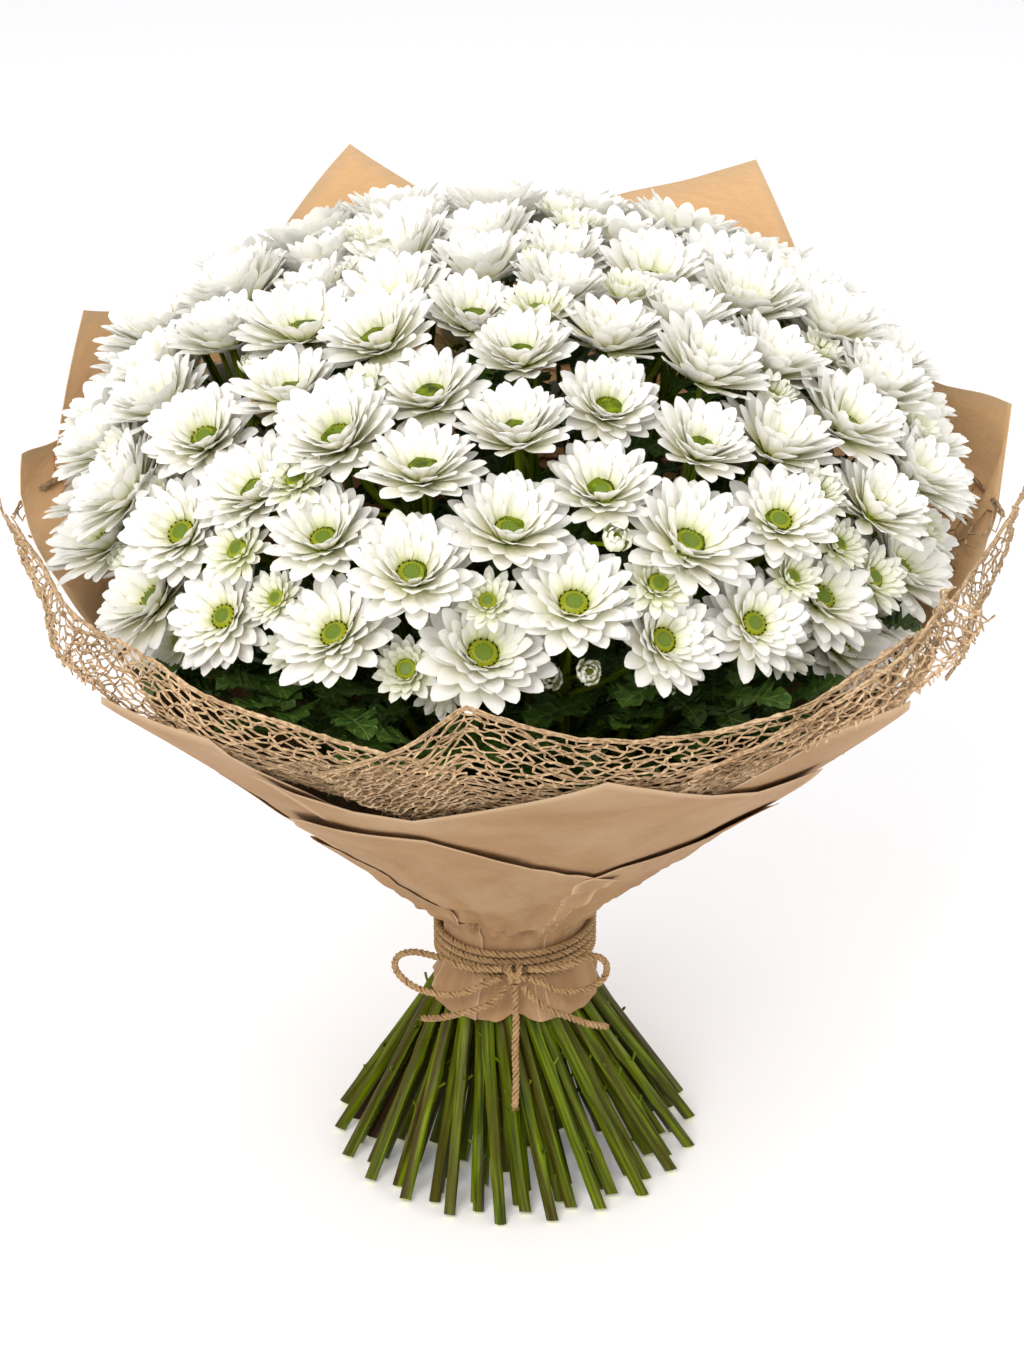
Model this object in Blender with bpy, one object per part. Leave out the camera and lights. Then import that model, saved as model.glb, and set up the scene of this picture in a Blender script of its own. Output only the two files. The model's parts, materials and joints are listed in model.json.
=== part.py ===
"""A hand-tied bunch of spray chrysanthemums in a kraft paper wrap, standing on its cut stems.

Metres, +Z up. The origin is on the surface the bunch stands on, below the middle of the tie.
The front of the bunch, where the bow is tied, faces -Y.

The stems run through the tie in two rings, fan out below it to a round foot and open above it
into a low dome of flower heads. A net collar and eight paper sheets share one bowl-shaped
profile outside the stems, and a twine is wound four times round the waist and tied in a bow.
"""

import math

import bmesh
import bpy
from mathutils import Vector

MM = 0.001
GAP = 0.3 * MM

# Stems
STEM_R = 3.0 * MM
STEM_SIDES = 6
RING_COUNT = 22
OUTER_RING_R = 32.6 * MM
INNER_RING_R = 28.0 * MM
OUTER_FOOT_R = 97.0 * MM
INNER_FOOT_R = 88.0 * MM
TIE_LOW = 112 * MM
TIE_HIGH = 141 * MM
BEND = 8 * MM
FOOT_TWIST = math.radians(20)
CROWN_TWIST = math.radians(-24)
LOWER_RING = 0.8  # the height of the ring where a stem starts to bend in, as a share of TIE_LOW
OPENING_SHARE = 0.45  # the height of a stem's last bend, as a share of the way up to its node
OPENING_CURVE = 1.15  # above 1, a stem opens later than a straight one

# Dome of flower heads: a flattened ball, with the heads spread from its top to below its widest line
DOME_R = 216 * MM
DOME_HALF_HEIGHT = 122 * MM
DOME_MID_Z = 391 * MM
DOME_FLOOR_Z = 343 * MM
DOME_SWEEP = math.acos((DOME_FLOOR_Z - DOME_MID_Z) / DOME_HALF_HEIGHT)
HEAD_R = 21.7 * MM
HEAD_HEIGHT = 15 * MM
HEAD_SIDES = 8
HEAD_SPACING = 54 * MM
HEAD_LEAN = math.radians(64)
SPREAD_ROUNDS = 160
SPREAD_RATE = 0.25

# Each tier of sprays: how many, and where its three heads sit down the dome and across the spray
TIERS = {
    "crown": {"sprays": 1, "down": (26, 26, 26), "across": None, "node_depth": 72},
    "upper": {"sprays": 8, "down": (70, 112, 112), "across": (0, -22, 22), "node_depth": 78},
    "middle": {"sprays": 13, "down": (158, 197, 197), "across": (0, -23, 23), "node_depth": 82},
    "outer": {"sprays": 22, "down": (238, 276, 314), "across": (-14, 14, -14), "node_depth": 84},
}
BRANCH_R = 2.1 * MM
BRANCH_SIDES = 5
BRANCH_DROOP = 0.12  # how far a side branch bows out, as a share of its length
BRANCH_STEP = 2 * MM  # between the side branches, down the stem
NECK_OVERLAP = 1.5 * MM  # how far a stalk runs up into its calyx

# Wrap: the inside profile of the paper, from the skirt below the tie to the tips above the rim
PROFILE = [
    (44.4 * MM, 95 * MM),
    (35.9 * MM, 112 * MM),
    (35.9 * MM, 137 * MM),
    (39.5 * MM, 144 * MM),
    (260.6 * MM, 345 * MM),
    (262.5 * MM, 490 * MM),
]
RIM_Z = 345 * MM
LAYER_PITCH = 1.1 * MM
PAPER = 0.6 * MM
GRID_STEP = 10  # degrees between the creases, the same for every layer

# Each sheet: its layer counted outwards, and the height of its top edge at each azimuth in degrees
SHEETS = {
    "kraft_left_upper": (0, {110: 370, 130: 392, 150: 422, 160: 350}),
    "kraft_back_right": (0, {50: 398, 60: 475, 80: 440, 100: 405}),
    "kraft_left": (1, {140: 352, 170: 365, 180: 350}),
    "kraft_back_left": (1, {70: 380, 100: 443, 110: 476, 120: 430, 130: 390}),
    "kraft_right": (1, {0: 350, 10: 392, 30: 382, 60: 365}),
    "kraft_front_centre": (1, {220: 330, 250: 300, 280: 343, 310: 325, 330: 330}),
    "kraft_front_left": (2, {170: 335, 220: 345, 260: 265, 280: 236}),
    "kraft_front_right": (2, {290: 240, 320: 345, 370: 335}),
}
NET = 1.4 * MM
NET_GAP = 0.5 * MM
NET_BOTTOM_Z = 235 * MM
NET_RIM = {0: 352, 90: 350, 180: 350, 230: 352, 250: 360, 260: 376, 270: 368, 290: 355, 360: 352}

# Twine
TWINE_R = 2.0 * MM
TURNS = 4
TURN_STEPS = 18
TURN_PITCH = 4.6 * MM
TURNS_LOW_Z = 115 * MM
KNOT_SIZE = Vector((13, 9, 12)) * MM
KNOT_Z = 124 * MM
KNOT_FRONT_GAP = 0.35 * MM
KNOT_BEVEL = 1.2 * MM
CORD_STEP = 4.4 * TWINE_R


def polar(radius, azimuth, z):
    """The point at a radius and an azimuth round the Z axis, at a height."""
    return Vector((radius * math.cos(azimuth), radius * math.sin(azimuth), z))


def finish(name, colour, roughness):
    """A plain Principled material."""
    material = bpy.data.materials.new(name)
    material.use_nodes = True
    shader = material.node_tree.nodes["Principled BSDF"]
    shader.inputs["Base Color"].default_value = (*colour, 1)
    shader.inputs["Roughness"].default_value = roughness
    shader.inputs["Metallic"].default_value = 0
    return material


def add_object(name, mesh, material):
    """Link a mesh to the scene as one named object."""
    mesh.materials.clear()
    mesh.materials.append(material)
    piece = bpy.data.objects.new(name, mesh)
    bpy.context.scene.collection.objects.link(piece)
    return piece


def turn_between(start, end):
    """The shorter turn from one azimuth to another."""
    return (end - start + math.pi) % math.tau - math.pi


def skin_of(rings, tip=None):
    """A closed bmesh over rings of points, flat at its start, and flat or pointed at its end."""
    bm = bmesh.new()
    loops = [[bm.verts.new(point) for point in ring] for ring in rings]
    sides = len(loops[0])
    for low, high in zip(loops, loops[1:]):
        for i in range(sides):
            j = (i + 1) % sides
            bm.faces.new((low[i], low[j], high[j], high[i]))
    bm.faces.new(reversed(loops[0]))
    if tip is None:
        bm.faces.new(loops[-1])
    else:
        point = bm.verts.new(tip)
        for i in range(sides):
            bm.faces.new((loops[-1][i], loops[-1][(i + 1) % sides], point))
    return bm


def circle(centre, normal, radius, sides):
    """Points on a circle that faces along normal."""
    turn = Vector((0, 0, 1)).rotation_difference(normal).to_matrix()
    return [centre + turn @ polar(radius, math.tau * i / sides, 0) for i in range(sides)]


def tube(path, radius, sides):
    """A closed tube along a path of points, its two ends cut square to the path."""
    rings = []
    for i, point in enumerate(path):
        ahead = path[min(i + 1, len(path) - 1)] - path[max(i - 1, 0)]
        rings.append(circle(point, ahead.normalized(), radius, sides))
    return skin_of(rings)


def to_mesh(bm, name):
    """Turn a bmesh into a mesh whose faces point outwards."""
    bmesh.ops.recalc_face_normals(bm, faces=bm.faces)
    mesh = bpy.data.meshes.new(name)
    bm.to_mesh(mesh)
    bm.free()
    return mesh


def united(name, bodies):
    """One mesh from overlapping closed bmeshes."""
    pieces = [bpy.data.objects.new(name, to_mesh(bm, name)) for bm in bodies]
    for piece in pieces:
        bpy.context.scene.collection.objects.link(piece)
    for other in pieces[1:]:
        join = pieces[0].modifiers.new("Join", "BOOLEAN")
        join.operation = "UNION"
        join.solver = "EXACT"
        join.object = other
    depsgraph = bpy.context.evaluated_depsgraph_get()
    mesh = bpy.data.meshes.new_from_object(pieces[0].evaluated_get(depsgraph))
    for piece in pieces:
        bpy.data.objects.remove(piece)
    mesh.name = name
    return mesh


class Dome:
    """The surface the flower heads sit on, measured by the distance down it from its top."""

    def __init__(self, samples=400):
        self.table = [(0.0, 0.0)]
        last = self.section(0)
        travelled = 0.0
        for i in range(1, samples + 1):
            angle = DOME_SWEEP * i / samples
            point = self.section(angle)
            travelled += (point - last).length
            self.table.append((travelled, angle))
            last = point

    @staticmethod
    def section(angle):
        """The point of the half section at an angle from the top."""
        height = DOME_MID_Z + DOME_HALF_HEIGHT * math.cos(angle)
        return Vector((DOME_R * math.sin(angle), 0, height))

    def point(self, down, azimuth):
        """The surface point at a distance down from the top."""
        for (d0, a0), (d1, a1) in zip(self.table, self.table[1:]):
            if down <= d1:
                flat = self.section(a0 + (a1 - a0) * (down - d0) / (d1 - d0))
                return polar(flat.x, azimuth, flat.z)
        flat = self.section(DOME_SWEEP)
        return polar(flat.x, azimuth, flat.z)

    def nearest(self, point):
        """The surface point straight out from the middle of the dome, no lower than its floor."""
        flat = Vector((point.x / DOME_R, point.y / DOME_R, (point.z - DOME_MID_Z) / DOME_HALF_HEIGHT))
        flat.normalize()
        flat.z = max(flat.z, (DOME_FLOOR_Z - DOME_MID_Z) / DOME_HALF_HEIGHT)
        across = math.hypot(flat.x, flat.y)
        if across > 0:
            scale = math.sqrt(1 - flat.z * flat.z) / across
            flat.x *= scale
            flat.y *= scale
        return Vector((flat.x * DOME_R, flat.y * DOME_R, DOME_MID_Z + flat.z * DOME_HALF_HEIGHT))

    def facing(self, point):
        """The way a head at a surface point faces: up at the top, leaning out towards the floor."""
        drop = math.acos(max(-1.0, min(1.0, (point.z - DOME_MID_Z) / DOME_HALF_HEIGHT)))
        lean = HEAD_LEAN * drop / DOME_SWEEP
        azimuth = math.atan2(point.y, point.x)
        return polar(math.sin(lean), azimuth, math.cos(lean))


def spray_layout(dome):
    """The azimuth, tier and starting head points of every spray."""
    sprays = []
    for tier, plan in TIERS.items():
        for i in range(plan["sprays"]):
            middle = math.tau * i / plan["sprays"]
            heads = []
            for k, down in enumerate(plan["down"]):
                if plan["across"] is None:
                    azimuth = math.tau * k / len(plan["down"])
                else:
                    radius = dome.point(down * MM, 0).x
                    azimuth = middle + plan["across"][k] * MM / radius
                heads.append(dome.point(down * MM, azimuth))
            sprays.append({"tier": tier, "azimuth": middle, "heads": heads})
    return sprays


def settle(sprays, dome):
    """Push heads that crowd each other apart along the dome."""
    heads = [head for spray in sprays for head in spray["heads"]]
    for _ in range(SPREAD_ROUNDS):
        moves = [Vector() for _ in heads]
        for i, a in enumerate(heads):
            for j in range(i + 1, len(heads)):
                away = a - heads[j]
                distance = away.length
                if 0 < distance < HEAD_SPACING:
                    push = away * (SPREAD_RATE * (HEAD_SPACING - distance) / distance)
                    moves[i] += push
                    moves[j] -= push
        heads = [dome.nearest(head + move) for head, move in zip(heads, moves)]
    settled = iter(heads)
    for spray in sprays:
        spray["heads"] = [next(settled) for _ in spray["heads"]]


def waist_slots():
    """Deal the stems out round the tie: the outer tier takes the outer ring, the rest the inner one."""
    slots = {"outer": [math.tau * i / RING_COUNT for i in range(RING_COUNT)]}
    inner = [math.tau * (i + 0.5) / RING_COUNT for i in range(RING_COUNT)]
    share = TIERS["middle"]["sprays"]
    slots["middle"] = []
    rest = []
    for i, azimuth in enumerate(inner):
        takes = (i + 1) * share // RING_COUNT > i * share // RING_COUNT
        (slots["middle"] if takes else rest).append(azimuth)
    slots["crown"] = [rest.pop(0)]
    slots["upper"] = rest
    return slots


def stem_path(ring_r, foot_r, azimuth, node):
    """The middle line of a stem from its cut end up to its node."""
    slope = (foot_r - ring_r) / (math.hypot(TIE_LOW, BEND) - BEND)
    path = []
    for z in (0.0, LOWER_RING * TIE_LOW, TIE_LOW):
        below = TIE_LOW - z
        radius = ring_r + slope * (math.hypot(below, BEND) - BEND)
        path.append(polar(radius, azimuth + FOOT_TWIST * below / TIE_LOW, z))
    path.append(polar(ring_r, azimuth, TIE_HIGH))
    reach = math.hypot(node.x, node.y)
    swing = turn_between(azimuth, math.atan2(node.y, node.x))
    radius = ring_r + (reach - ring_r) * OPENING_SHARE**OPENING_CURVE
    height = TIE_HIGH + (node.z - TIE_HIGH) * OPENING_SHARE
    path.append(polar(radius, azimuth + swing * OPENING_SHARE, height))
    path.append(node)
    return path


def flower_head(top, facing):
    """A head: the calyx on its stalk, the wide rim of petals and the low crown over the disc."""
    base = top - facing * HEAD_HEIGHT
    rings = [
        circle(base, facing, 1.25 * BRANCH_R, HEAD_SIDES),
        circle(base + facing * 0.55 * HEAD_HEIGHT, facing, HEAD_R, HEAD_SIDES),
        circle(base + facing * 0.86 * HEAD_HEIGHT, facing, 0.78 * HEAD_R, HEAD_SIDES),
    ]
    return skin_of(rings, tip=top)


def make_spray(name, spray, ring_r, foot_r, azimuth, material):
    """One stem with its side branches and heads, grown as one piece."""
    depth = TIERS[spray["tier"]]["node_depth"] * MM
    heads = spray["heads"]
    middle = sum(heads, Vector()) / len(heads)
    facing = sum((DOME.facing(head) for head in heads), Vector()).normalized()
    node = middle - facing * depth
    path = stem_path(ring_r, foot_r, azimuth, node)
    arrive = (path[-1] - path[-2]).normalized()
    ordered = sorted(heads, key=lambda head: -(head - node).normalized().dot(arrive))
    bodies = []
    for k, head in enumerate(ordered):
        face = DOME.facing(head)
        neck = head - face * (HEAD_HEIGHT - NECK_OVERLAP)
        bend = (node + neck) / 2 - face * BRANCH_DROOP * (neck - node).length
        if k == 0:
            bodies.insert(0, level_foot(path + [bend.lerp(neck, 0.3), neck]))
        else:
            fork = node - arrive * k * BRANCH_STEP
            bodies.append(tube([fork, bend, neck], BRANCH_R, BRANCH_SIDES))
        bodies.append(flower_head(head, face))
    return add_object(name, united(name, bodies), material)


def level_foot(path):
    """A stem tube whose cut end lies flat on the surface."""
    bm = tube(path, STEM_R, STEM_SIDES)
    bm.verts.ensure_lookup_table()
    direction = (path[1] - path[0]).normalized()
    for vert in bm.verts[:STEM_SIDES]:
        vert.co -= direction * (vert.co.z / direction.z)
    return bm


def profile_radius(z):
    """The inside radius of the innermost sheet at a height."""
    for (r0, z0), (r1, z1) in zip(PROFILE, PROFILE[1:]):
        if z <= z1:
            return r0 + (r1 - r0) * (z - z0) / (z1 - z0)
    return PROFILE[-1][0]


def height_at(edge, degrees):
    """The height of an edge at an azimuth, straight between its named points."""
    marks = sorted(edge)
    for low, high in zip(marks, marks[1:]):
        if low <= degrees <= high:
            return (edge[low] + (edge[high] - edge[low]) * (degrees - low) / (high - low)) * MM
    raise ValueError(degrees)


def shell(columns, closed):
    """A thin solid from columns of (inside point, outside point) pairs, open or closed to a ring."""
    bm = bmesh.new()
    faces = [[[bm.verts.new(pair[side]) for pair in column] for side in (0, 1)] for column in columns]
    count = len(faces)
    last = count if closed else count - 1
    for i in range(last):
        (in_a, out_a), (in_b, out_b) = faces[i], faces[(i + 1) % count]
        for k in range(len(in_a) - 1):
            bm.faces.new((in_a[k], in_b[k], in_b[k + 1], in_a[k + 1]))
            bm.faces.new((out_a[k], out_a[k + 1], out_b[k + 1], out_b[k]))
        bm.faces.new((in_a[0], out_a[0], out_b[0], in_b[0]))
        bm.faces.new((in_a[-1], in_b[-1], out_b[-1], out_a[-1]))
    if not closed:
        for inner, outer in (faces[0], faces[-1]):
            for k in range(len(inner) - 1):
                bm.faces.new((inner[k], inner[k + 1], outer[k + 1], outer[k]))
    return bm


def column_of(degrees, heights, offset, thickness):
    """Inside and outside points of a layer at one azimuth, one pair for each height."""
    azimuth = math.radians(degrees)
    pairs = []
    for z in heights:
        radius = profile_radius(z) + offset
        pairs.append((polar(radius, azimuth, z), polar(radius + thickness, azimuth, z)))
    return pairs


def make_sheet(name, layer, edge, material):
    """One sheet of the wrap: gathered under the twine, open to its top edge."""
    columns = []
    for degrees in range(min(edge), max(edge) + 1, GRID_STEP):
        top = height_at(edge, degrees)
        heights = [z for _, z in PROFILE[:4]]
        heights += [RIM_Z, top] if top > RIM_Z else [(heights[-1] + top) / 2, top]
        columns.append(column_of(degrees, heights, layer * LAYER_PITCH, PAPER))
    return add_object(name, to_mesh(shell(columns, closed=False), name), material)


def make_net(material):
    """The net collar that lines the open part of the wrap all the way round."""
    columns = []
    for degrees in range(0, 360, GRID_STEP):
        heights = [NET_BOTTOM_Z, RIM_Z, height_at(NET_RIM, degrees)]
        columns.append(column_of(degrees, heights, -NET - NET_GAP, NET))
    return add_object("net_collar", to_mesh(shell(columns, closed=True), "net_collar"), material)


def turns_radius():
    """The middle line of the wound twine, clear of the outermost sheet at the waist."""
    outside = PROFILE[1][0] + 2 * LAYER_PITCH + PAPER
    return (outside + GAP + TWINE_R) / math.cos(math.pi / TURN_STEPS)


def make_turns(material):
    """The twine wound round the waist, from behind one side of the knot to the other."""
    radius = turns_radius()
    path = []
    for i in range(TURNS * TURN_STEPS + 1):
        azimuth = -math.pi / 2 + math.tau * i / TURN_STEPS
        path.append(polar(radius, azimuth, TURNS_LOW_Z + TURN_PITCH * i / TURN_STEPS))
    return add_object("twine_turns", to_mesh(tube(path, TWINE_R, 6), "twine_turns"), material)


def knot_centre():
    """The middle of the knot, in front of the wound twine."""
    front = turns_radius() + TWINE_R + KNOT_FRONT_GAP + KNOT_SIZE.y / 2
    return Vector((0, -front, KNOT_Z))


def make_knot(material):
    """The knot of the bow: a small block with its edges rounded off."""
    bm = bmesh.new()
    bmesh.ops.create_cube(bm, size=1)
    bmesh.ops.scale(bm, vec=KNOT_SIZE, verts=bm.verts)
    bmesh.ops.bevel(bm, geom=bm.edges[:], offset=KNOT_BEVEL, segments=1, affect="EDGES")
    bmesh.ops.translate(bm, vec=knot_centre(), verts=bm.verts)
    return add_object("twine_knot", to_mesh(bm, "twine_knot"), material)


def smooth_path(points, step, pieces=12):
    """Points about a step apart along a smooth curve through the given points."""
    route = [points[0] * 2 - points[1], *points, points[-1] * 2 - points[-2]]
    fine = []
    for a, b, c, d in zip(route, route[1:], route[2:], route[3:]):
        for i in range(pieces):
            t = i / pieces
            fine.append(
                0.5 * (2 * b + (c - a) * t + (2 * a - 5 * b + 4 * c - d) * t**2
                       + (3 * b - a - 3 * c + d) * t**3)
            )
    fine.append(points[-1])
    total = sum((q - p).length for p, q in zip(fine, fine[1:]))
    count = max(3, round(total / step))
    path, walked, target = [fine[0]], 0.0, total / count
    for p, q in zip(fine, fine[1:]):
        span = (q - p).length
        while walked + span >= target * len(path) and len(path) < count:
            path.append(p.lerp(q, (target * len(path) - walked) / span))
        walked += span
    path.append(fine[-1])
    return path


def bow_routes():
    """The route of each loop and tail of the bow, from the knot outwards, in millimetres."""
    side = KNOT_SIZE.x / 2 / MM + 0.4
    slant_side = side + 0.6  # a slanting end stands off further, so that its rim clears the knot
    under = -(KNOT_SIZE.z / 2 / MM + 0.5)
    slant_under = under - 1.2
    return {
        "bow_loop_left": [
            (-side, 0, 2.8), (-14, -0.5, 2.8), (-26, 0, 4), (-40, 3, 8), (-52, 6, 9.5), (-60, 9, 6),
            (-63, 11, -1), (-60, 11, -8), (-52, 8, -13), (-40, 3, -14), (-27, -2, -10.5),
            (-14, -1.5, -4.5), (-slant_side, 0, -2.8),
        ],
        "bow_loop_right": [
            (side, 0, 2.8), (14, -0.5, 2.8), (26, 0, 4.5), (36, 3, 7.5), (43, 7, 6), (47.5, 10, 0),
            (47, 11, -8), (41, 9, -13), (32, 3, -12.5), (22, -2, -9), (13, -1.5, -4.5),
            (slant_side, 0, -2.8),
        ],
        "bow_tail_left": [
            (-4.6, -0.5, slant_under), (-8, -3.5, -11.5), (-15, -6.5, -15.5), (-27, -6, -20),
            (-39, -1, -26), (-48, 5, -30),
        ],
        "bow_tail_centre": [
            (0, 0, under), (0, -1.5, -15), (0.5, -5, -28), (0, -10, -41), (0.5, -16.5, -54),
            (0, -23, -67),
        ],
        "bow_tail_right": [
            (4.6, -0.5, slant_under), (8, -3.5, -11.5), (16, -6.5, -17), (28, -5.5, -23),
            (39, -1, -30), (48, 5, -35),
        ],
    }


def make_cord(name, route, material):
    """A free length of twine: a round tube along a smooth curve through its route."""
    centre = knot_centre()
    path = smooth_path([centre + Vector(point) * MM for point in route], CORD_STEP)
    curve = bpy.data.curves.new(name, "CURVE")
    curve.dimensions = "3D"
    curve.bevel_depth = TWINE_R
    curve.bevel_resolution = 2
    curve.use_fill_caps = True
    curve.render_resolution_u = 0
    spline = curve.splines.new("POLY")
    spline.points.add(len(path) - 1)
    for spot, point in zip(spline.points, path):
        spot.co = (*point, 1)
    curve.materials.append(material)
    cord = bpy.data.objects.new(name, curve)
    bpy.context.scene.collection.objects.link(cord)
    return cord


for leftover in list(bpy.data.objects):
    bpy.data.objects.remove(leftover)

GREEN = finish("Stems and flowers", (0.55, 0.62, 0.42), 0.6)
KRAFT = finish("Kraft paper", (0.53, 0.36, 0.2), 0.75)
FIBRE = finish("Net fibre", (0.52, 0.38, 0.22), 0.85)
JUTE = finish("Jute twine", (0.4, 0.25, 0.12), 0.9)

DOME = Dome()
layout = spray_layout(DOME)
settle(layout, DOME)
free_slots = waist_slots()
for number, one in enumerate(sorted(layout, key=lambda s: (s["tier"] != "outer", s["azimuth"])), 1):
    in_outer = one["tier"] == "outer"
    goal = one["azimuth"] - CROWN_TWIST
    taken = min(
        free_slots[one["tier"]],
        key=lambda slot: abs(turn_between(goal, slot)),
    )
    free_slots[one["tier"]].remove(taken)
    make_spray(
        f"spray_{number:02d}",
        one,
        OUTER_RING_R if in_outer else INNER_RING_R,
        OUTER_FOOT_R if in_outer else INNER_FOOT_R,
        taken,
        GREEN,
    )
for sheet_name, (sheet_layer, top_edge) in SHEETS.items():
    make_sheet(sheet_name, sheet_layer, top_edge, KRAFT)
make_net(FIBRE)
make_turns(JUTE)
make_knot(JUTE)
for cord_name, cord_route in bow_routes().items():
    make_cord(cord_name, cord_route, JUTE)
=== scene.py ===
"""The finished look of a hand-tied bunch of white spray chrysanthemums in kraft paper.

Metres, +Z up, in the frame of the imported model. The bunch stands on its cut stems and its bow
faces -Y. Every CAD node is replaced by a detailed piece: stems with their side branches, open
and half-open blooms, the foliage below them, the paper sheets, the net collar and the twine.
"""

from __future__ import annotations

import json
import logging
import math
import random
from dataclasses import dataclass, field, replace
from enum import Enum
from functools import cache, partial
from itertools import accumulate
from typing import Callable, Iterable, Sequence, Union

import bpy
import numpy as np
from mathutils import Euler, Matrix, Vector, noise

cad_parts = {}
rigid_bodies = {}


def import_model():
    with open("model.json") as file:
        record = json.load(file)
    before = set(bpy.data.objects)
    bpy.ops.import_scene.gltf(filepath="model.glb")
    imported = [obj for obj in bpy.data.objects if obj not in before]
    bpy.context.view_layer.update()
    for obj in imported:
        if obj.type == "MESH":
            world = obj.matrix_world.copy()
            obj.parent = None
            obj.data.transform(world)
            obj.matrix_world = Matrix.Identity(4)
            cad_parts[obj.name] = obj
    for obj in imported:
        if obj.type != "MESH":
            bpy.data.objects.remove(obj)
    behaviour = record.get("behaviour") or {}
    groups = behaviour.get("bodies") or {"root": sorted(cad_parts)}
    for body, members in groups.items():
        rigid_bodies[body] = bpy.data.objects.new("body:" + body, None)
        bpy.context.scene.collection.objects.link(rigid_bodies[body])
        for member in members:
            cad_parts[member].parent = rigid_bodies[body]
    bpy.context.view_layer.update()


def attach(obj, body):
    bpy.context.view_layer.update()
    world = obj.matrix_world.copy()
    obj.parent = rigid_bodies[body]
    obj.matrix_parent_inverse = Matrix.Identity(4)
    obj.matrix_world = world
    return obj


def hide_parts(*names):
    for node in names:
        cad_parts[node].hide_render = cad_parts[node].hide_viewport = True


for leftover in list(bpy.data.objects):
    bpy.data.objects.remove(leftover)
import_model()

LOG = logging.getLogger("bunch")
MM = 0.001
BODY = "root"
UP = Vector((0, 0, 1))
SHARP_ANGLE = math.radians(48)

Socket = bpy.types.NodeSocket
Colour = tuple[float, float, float]
Value = Union[Socket, float, Colour]
Point = Sequence[float]


class Slot(Enum):
    """The record's material slots."""

    FLOWERS = "stems_and_flowers"
    PAPER = "kraft_paper"
    NET = "net_fibre"
    TWINE = "jute_twine"


class Tier(Enum):
    """The tiers of sprays, from the top of the dome down."""

    CROWN = "crown"
    UPPER = "upper"
    MIDDLE = "middle"
    OUTER = "outer"


class Head(Enum):
    """The kinds of flower head, each the name of a collection of templates."""

    OPEN = "open_bloom"
    HALF_OPEN = "half_open_bloom"
    BUD = "bud"


# --------------------------------------------------------------------------- plain geometry


def polar(radius: float, azimuth: float, z: float) -> Vector:
    """The point at a radius and an azimuth round the Z axis, at a height."""
    return Vector((radius * math.cos(azimuth), radius * math.sin(azimuth), z))


def turn_between(start: float, end: float) -> float:
    """The shorter turn from one azimuth to another."""
    return (end - start + math.pi) % math.tau - math.pi


def smoothstep(low: float, high: float, value: float) -> float:
    """A soft step from 0 at low to 1 at high."""
    share = min(1.0, max(0.0, (value - low) / (high - low)))
    return share * share * (3 - 2 * share)


def from_front(degrees: float) -> float:
    """How many degrees an azimuth lies from the front of the bunch."""
    return abs((degrees - 270 + 180) % 360 - 180)


def side_tuck(degrees: float, z: float) -> float:
    """How far the bunch is drawn in below the wrap's side corners.

    Args:
        degrees: The azimuth.
        z: The height in millimetres.

    Returns:
        The distance in millimetres.
    """
    corner, before, after, deepest = 73, 12, 22, 14
    turn = from_front(degrees) - corner
    away = turn / (after if turn > 0 else before)
    return deepest * math.exp(-away * away) * smoothstep(400, 345, z) * smoothstep(240, 310, z)


def tucked(point: Vector) -> Vector:
    """Move a head in as far as the wrap has drawn it.

    Args:
        point: Its place in the dome.

    Returns:
        Its place in the wrap.
    """
    away = math.hypot(point.x, point.y)
    degrees = math.degrees(math.atan2(point.y, point.x))
    share = 1 - 0.8 * side_tuck(degrees, point.z / MM) * MM / max(away, 60 * MM)
    return Vector((point.x * share, point.y * share, point.z))


def interpolate(table: Sequence[tuple[float, float]], value: float) -> float:
    """The straight-line value of a table.

    Args:
        table: Its (place, value) pairs.
        value: The place to read it at.

    Returns:
        The value there, or the last one past its end.
    """
    for (x0, y0), (x1, y1) in zip(table, table[1:]):
        if value <= x1:
            return y0 + (y1 - y0) * max(0.0, value - x0) / (x1 - x0)
    return table[-1][1]


def smooth_path(points: Sequence[Vector], step: float, pieces: int = 12) -> list[Vector]:
    """Points about a step apart along a smooth curve through the given points.

    Args:
        points: The points that the curve passes through.
        step: The distance wanted between the new points, in metres.
        pieces: How finely each span is sampled before it is divided again.

    Returns:
        The new points, with the first and last point kept.
    """
    route = [points[0] * 2 - points[1], *points, points[-1] * 2 - points[-2]]
    fine = []
    for a, b, c, d in zip(route, route[1:], route[2:], route[3:]):
        for i in range(pieces):
            t = i / pieces
            flat, bend, twist = (c - a) * t, (2 * a - 5 * b + 4 * c - d) * t**2, (
                3 * b - a - 3 * c + d) * t**3
            fine.append(0.5 * (2 * b + flat + bend + twist))
    fine.append(points[-1])
    total = path_length(fine)
    count = max(3, round(total / step))
    path, walked, target = [fine[0]], 0.0, total / count
    for p, q in zip(fine, fine[1:]):
        span = (q - p).length
        while walked + span >= target * len(path) and len(path) < count:
            path.append(p.lerp(q, (target * len(path) - walked) / span))
        walked += span
    return [*path, fine[-1]]


def path_length(path: Sequence[Vector]) -> float:
    """The length of a path of points."""
    return sum((q - p).length for p, q in zip(path, path[1:]))


def distances(path: Sequence[Vector]) -> list[float]:
    """How far along a path each of its points is."""
    return [0.0, *accumulate((q - p).length for p, q in zip(path, path[1:]))]


def frames_along(path: Sequence[Vector]) -> list[tuple[Vector, Vector, Vector]]:
    """Follow a path without needless twist.

    Args:
        path: Its points.

    Returns:
        The direction and two square axes at each point.
    """
    frames = []
    side = None
    for i, _ in enumerate(path):
        ahead = (path[min(i + 1, len(path) - 1)] - path[max(i - 1, 0)]).normalized()
        side = side or ahead.orthogonal().normalized()
        side = (side - ahead * side.dot(ahead)).normalized()
        frames.append((ahead, side, ahead.cross(side)))
    return frames


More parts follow.
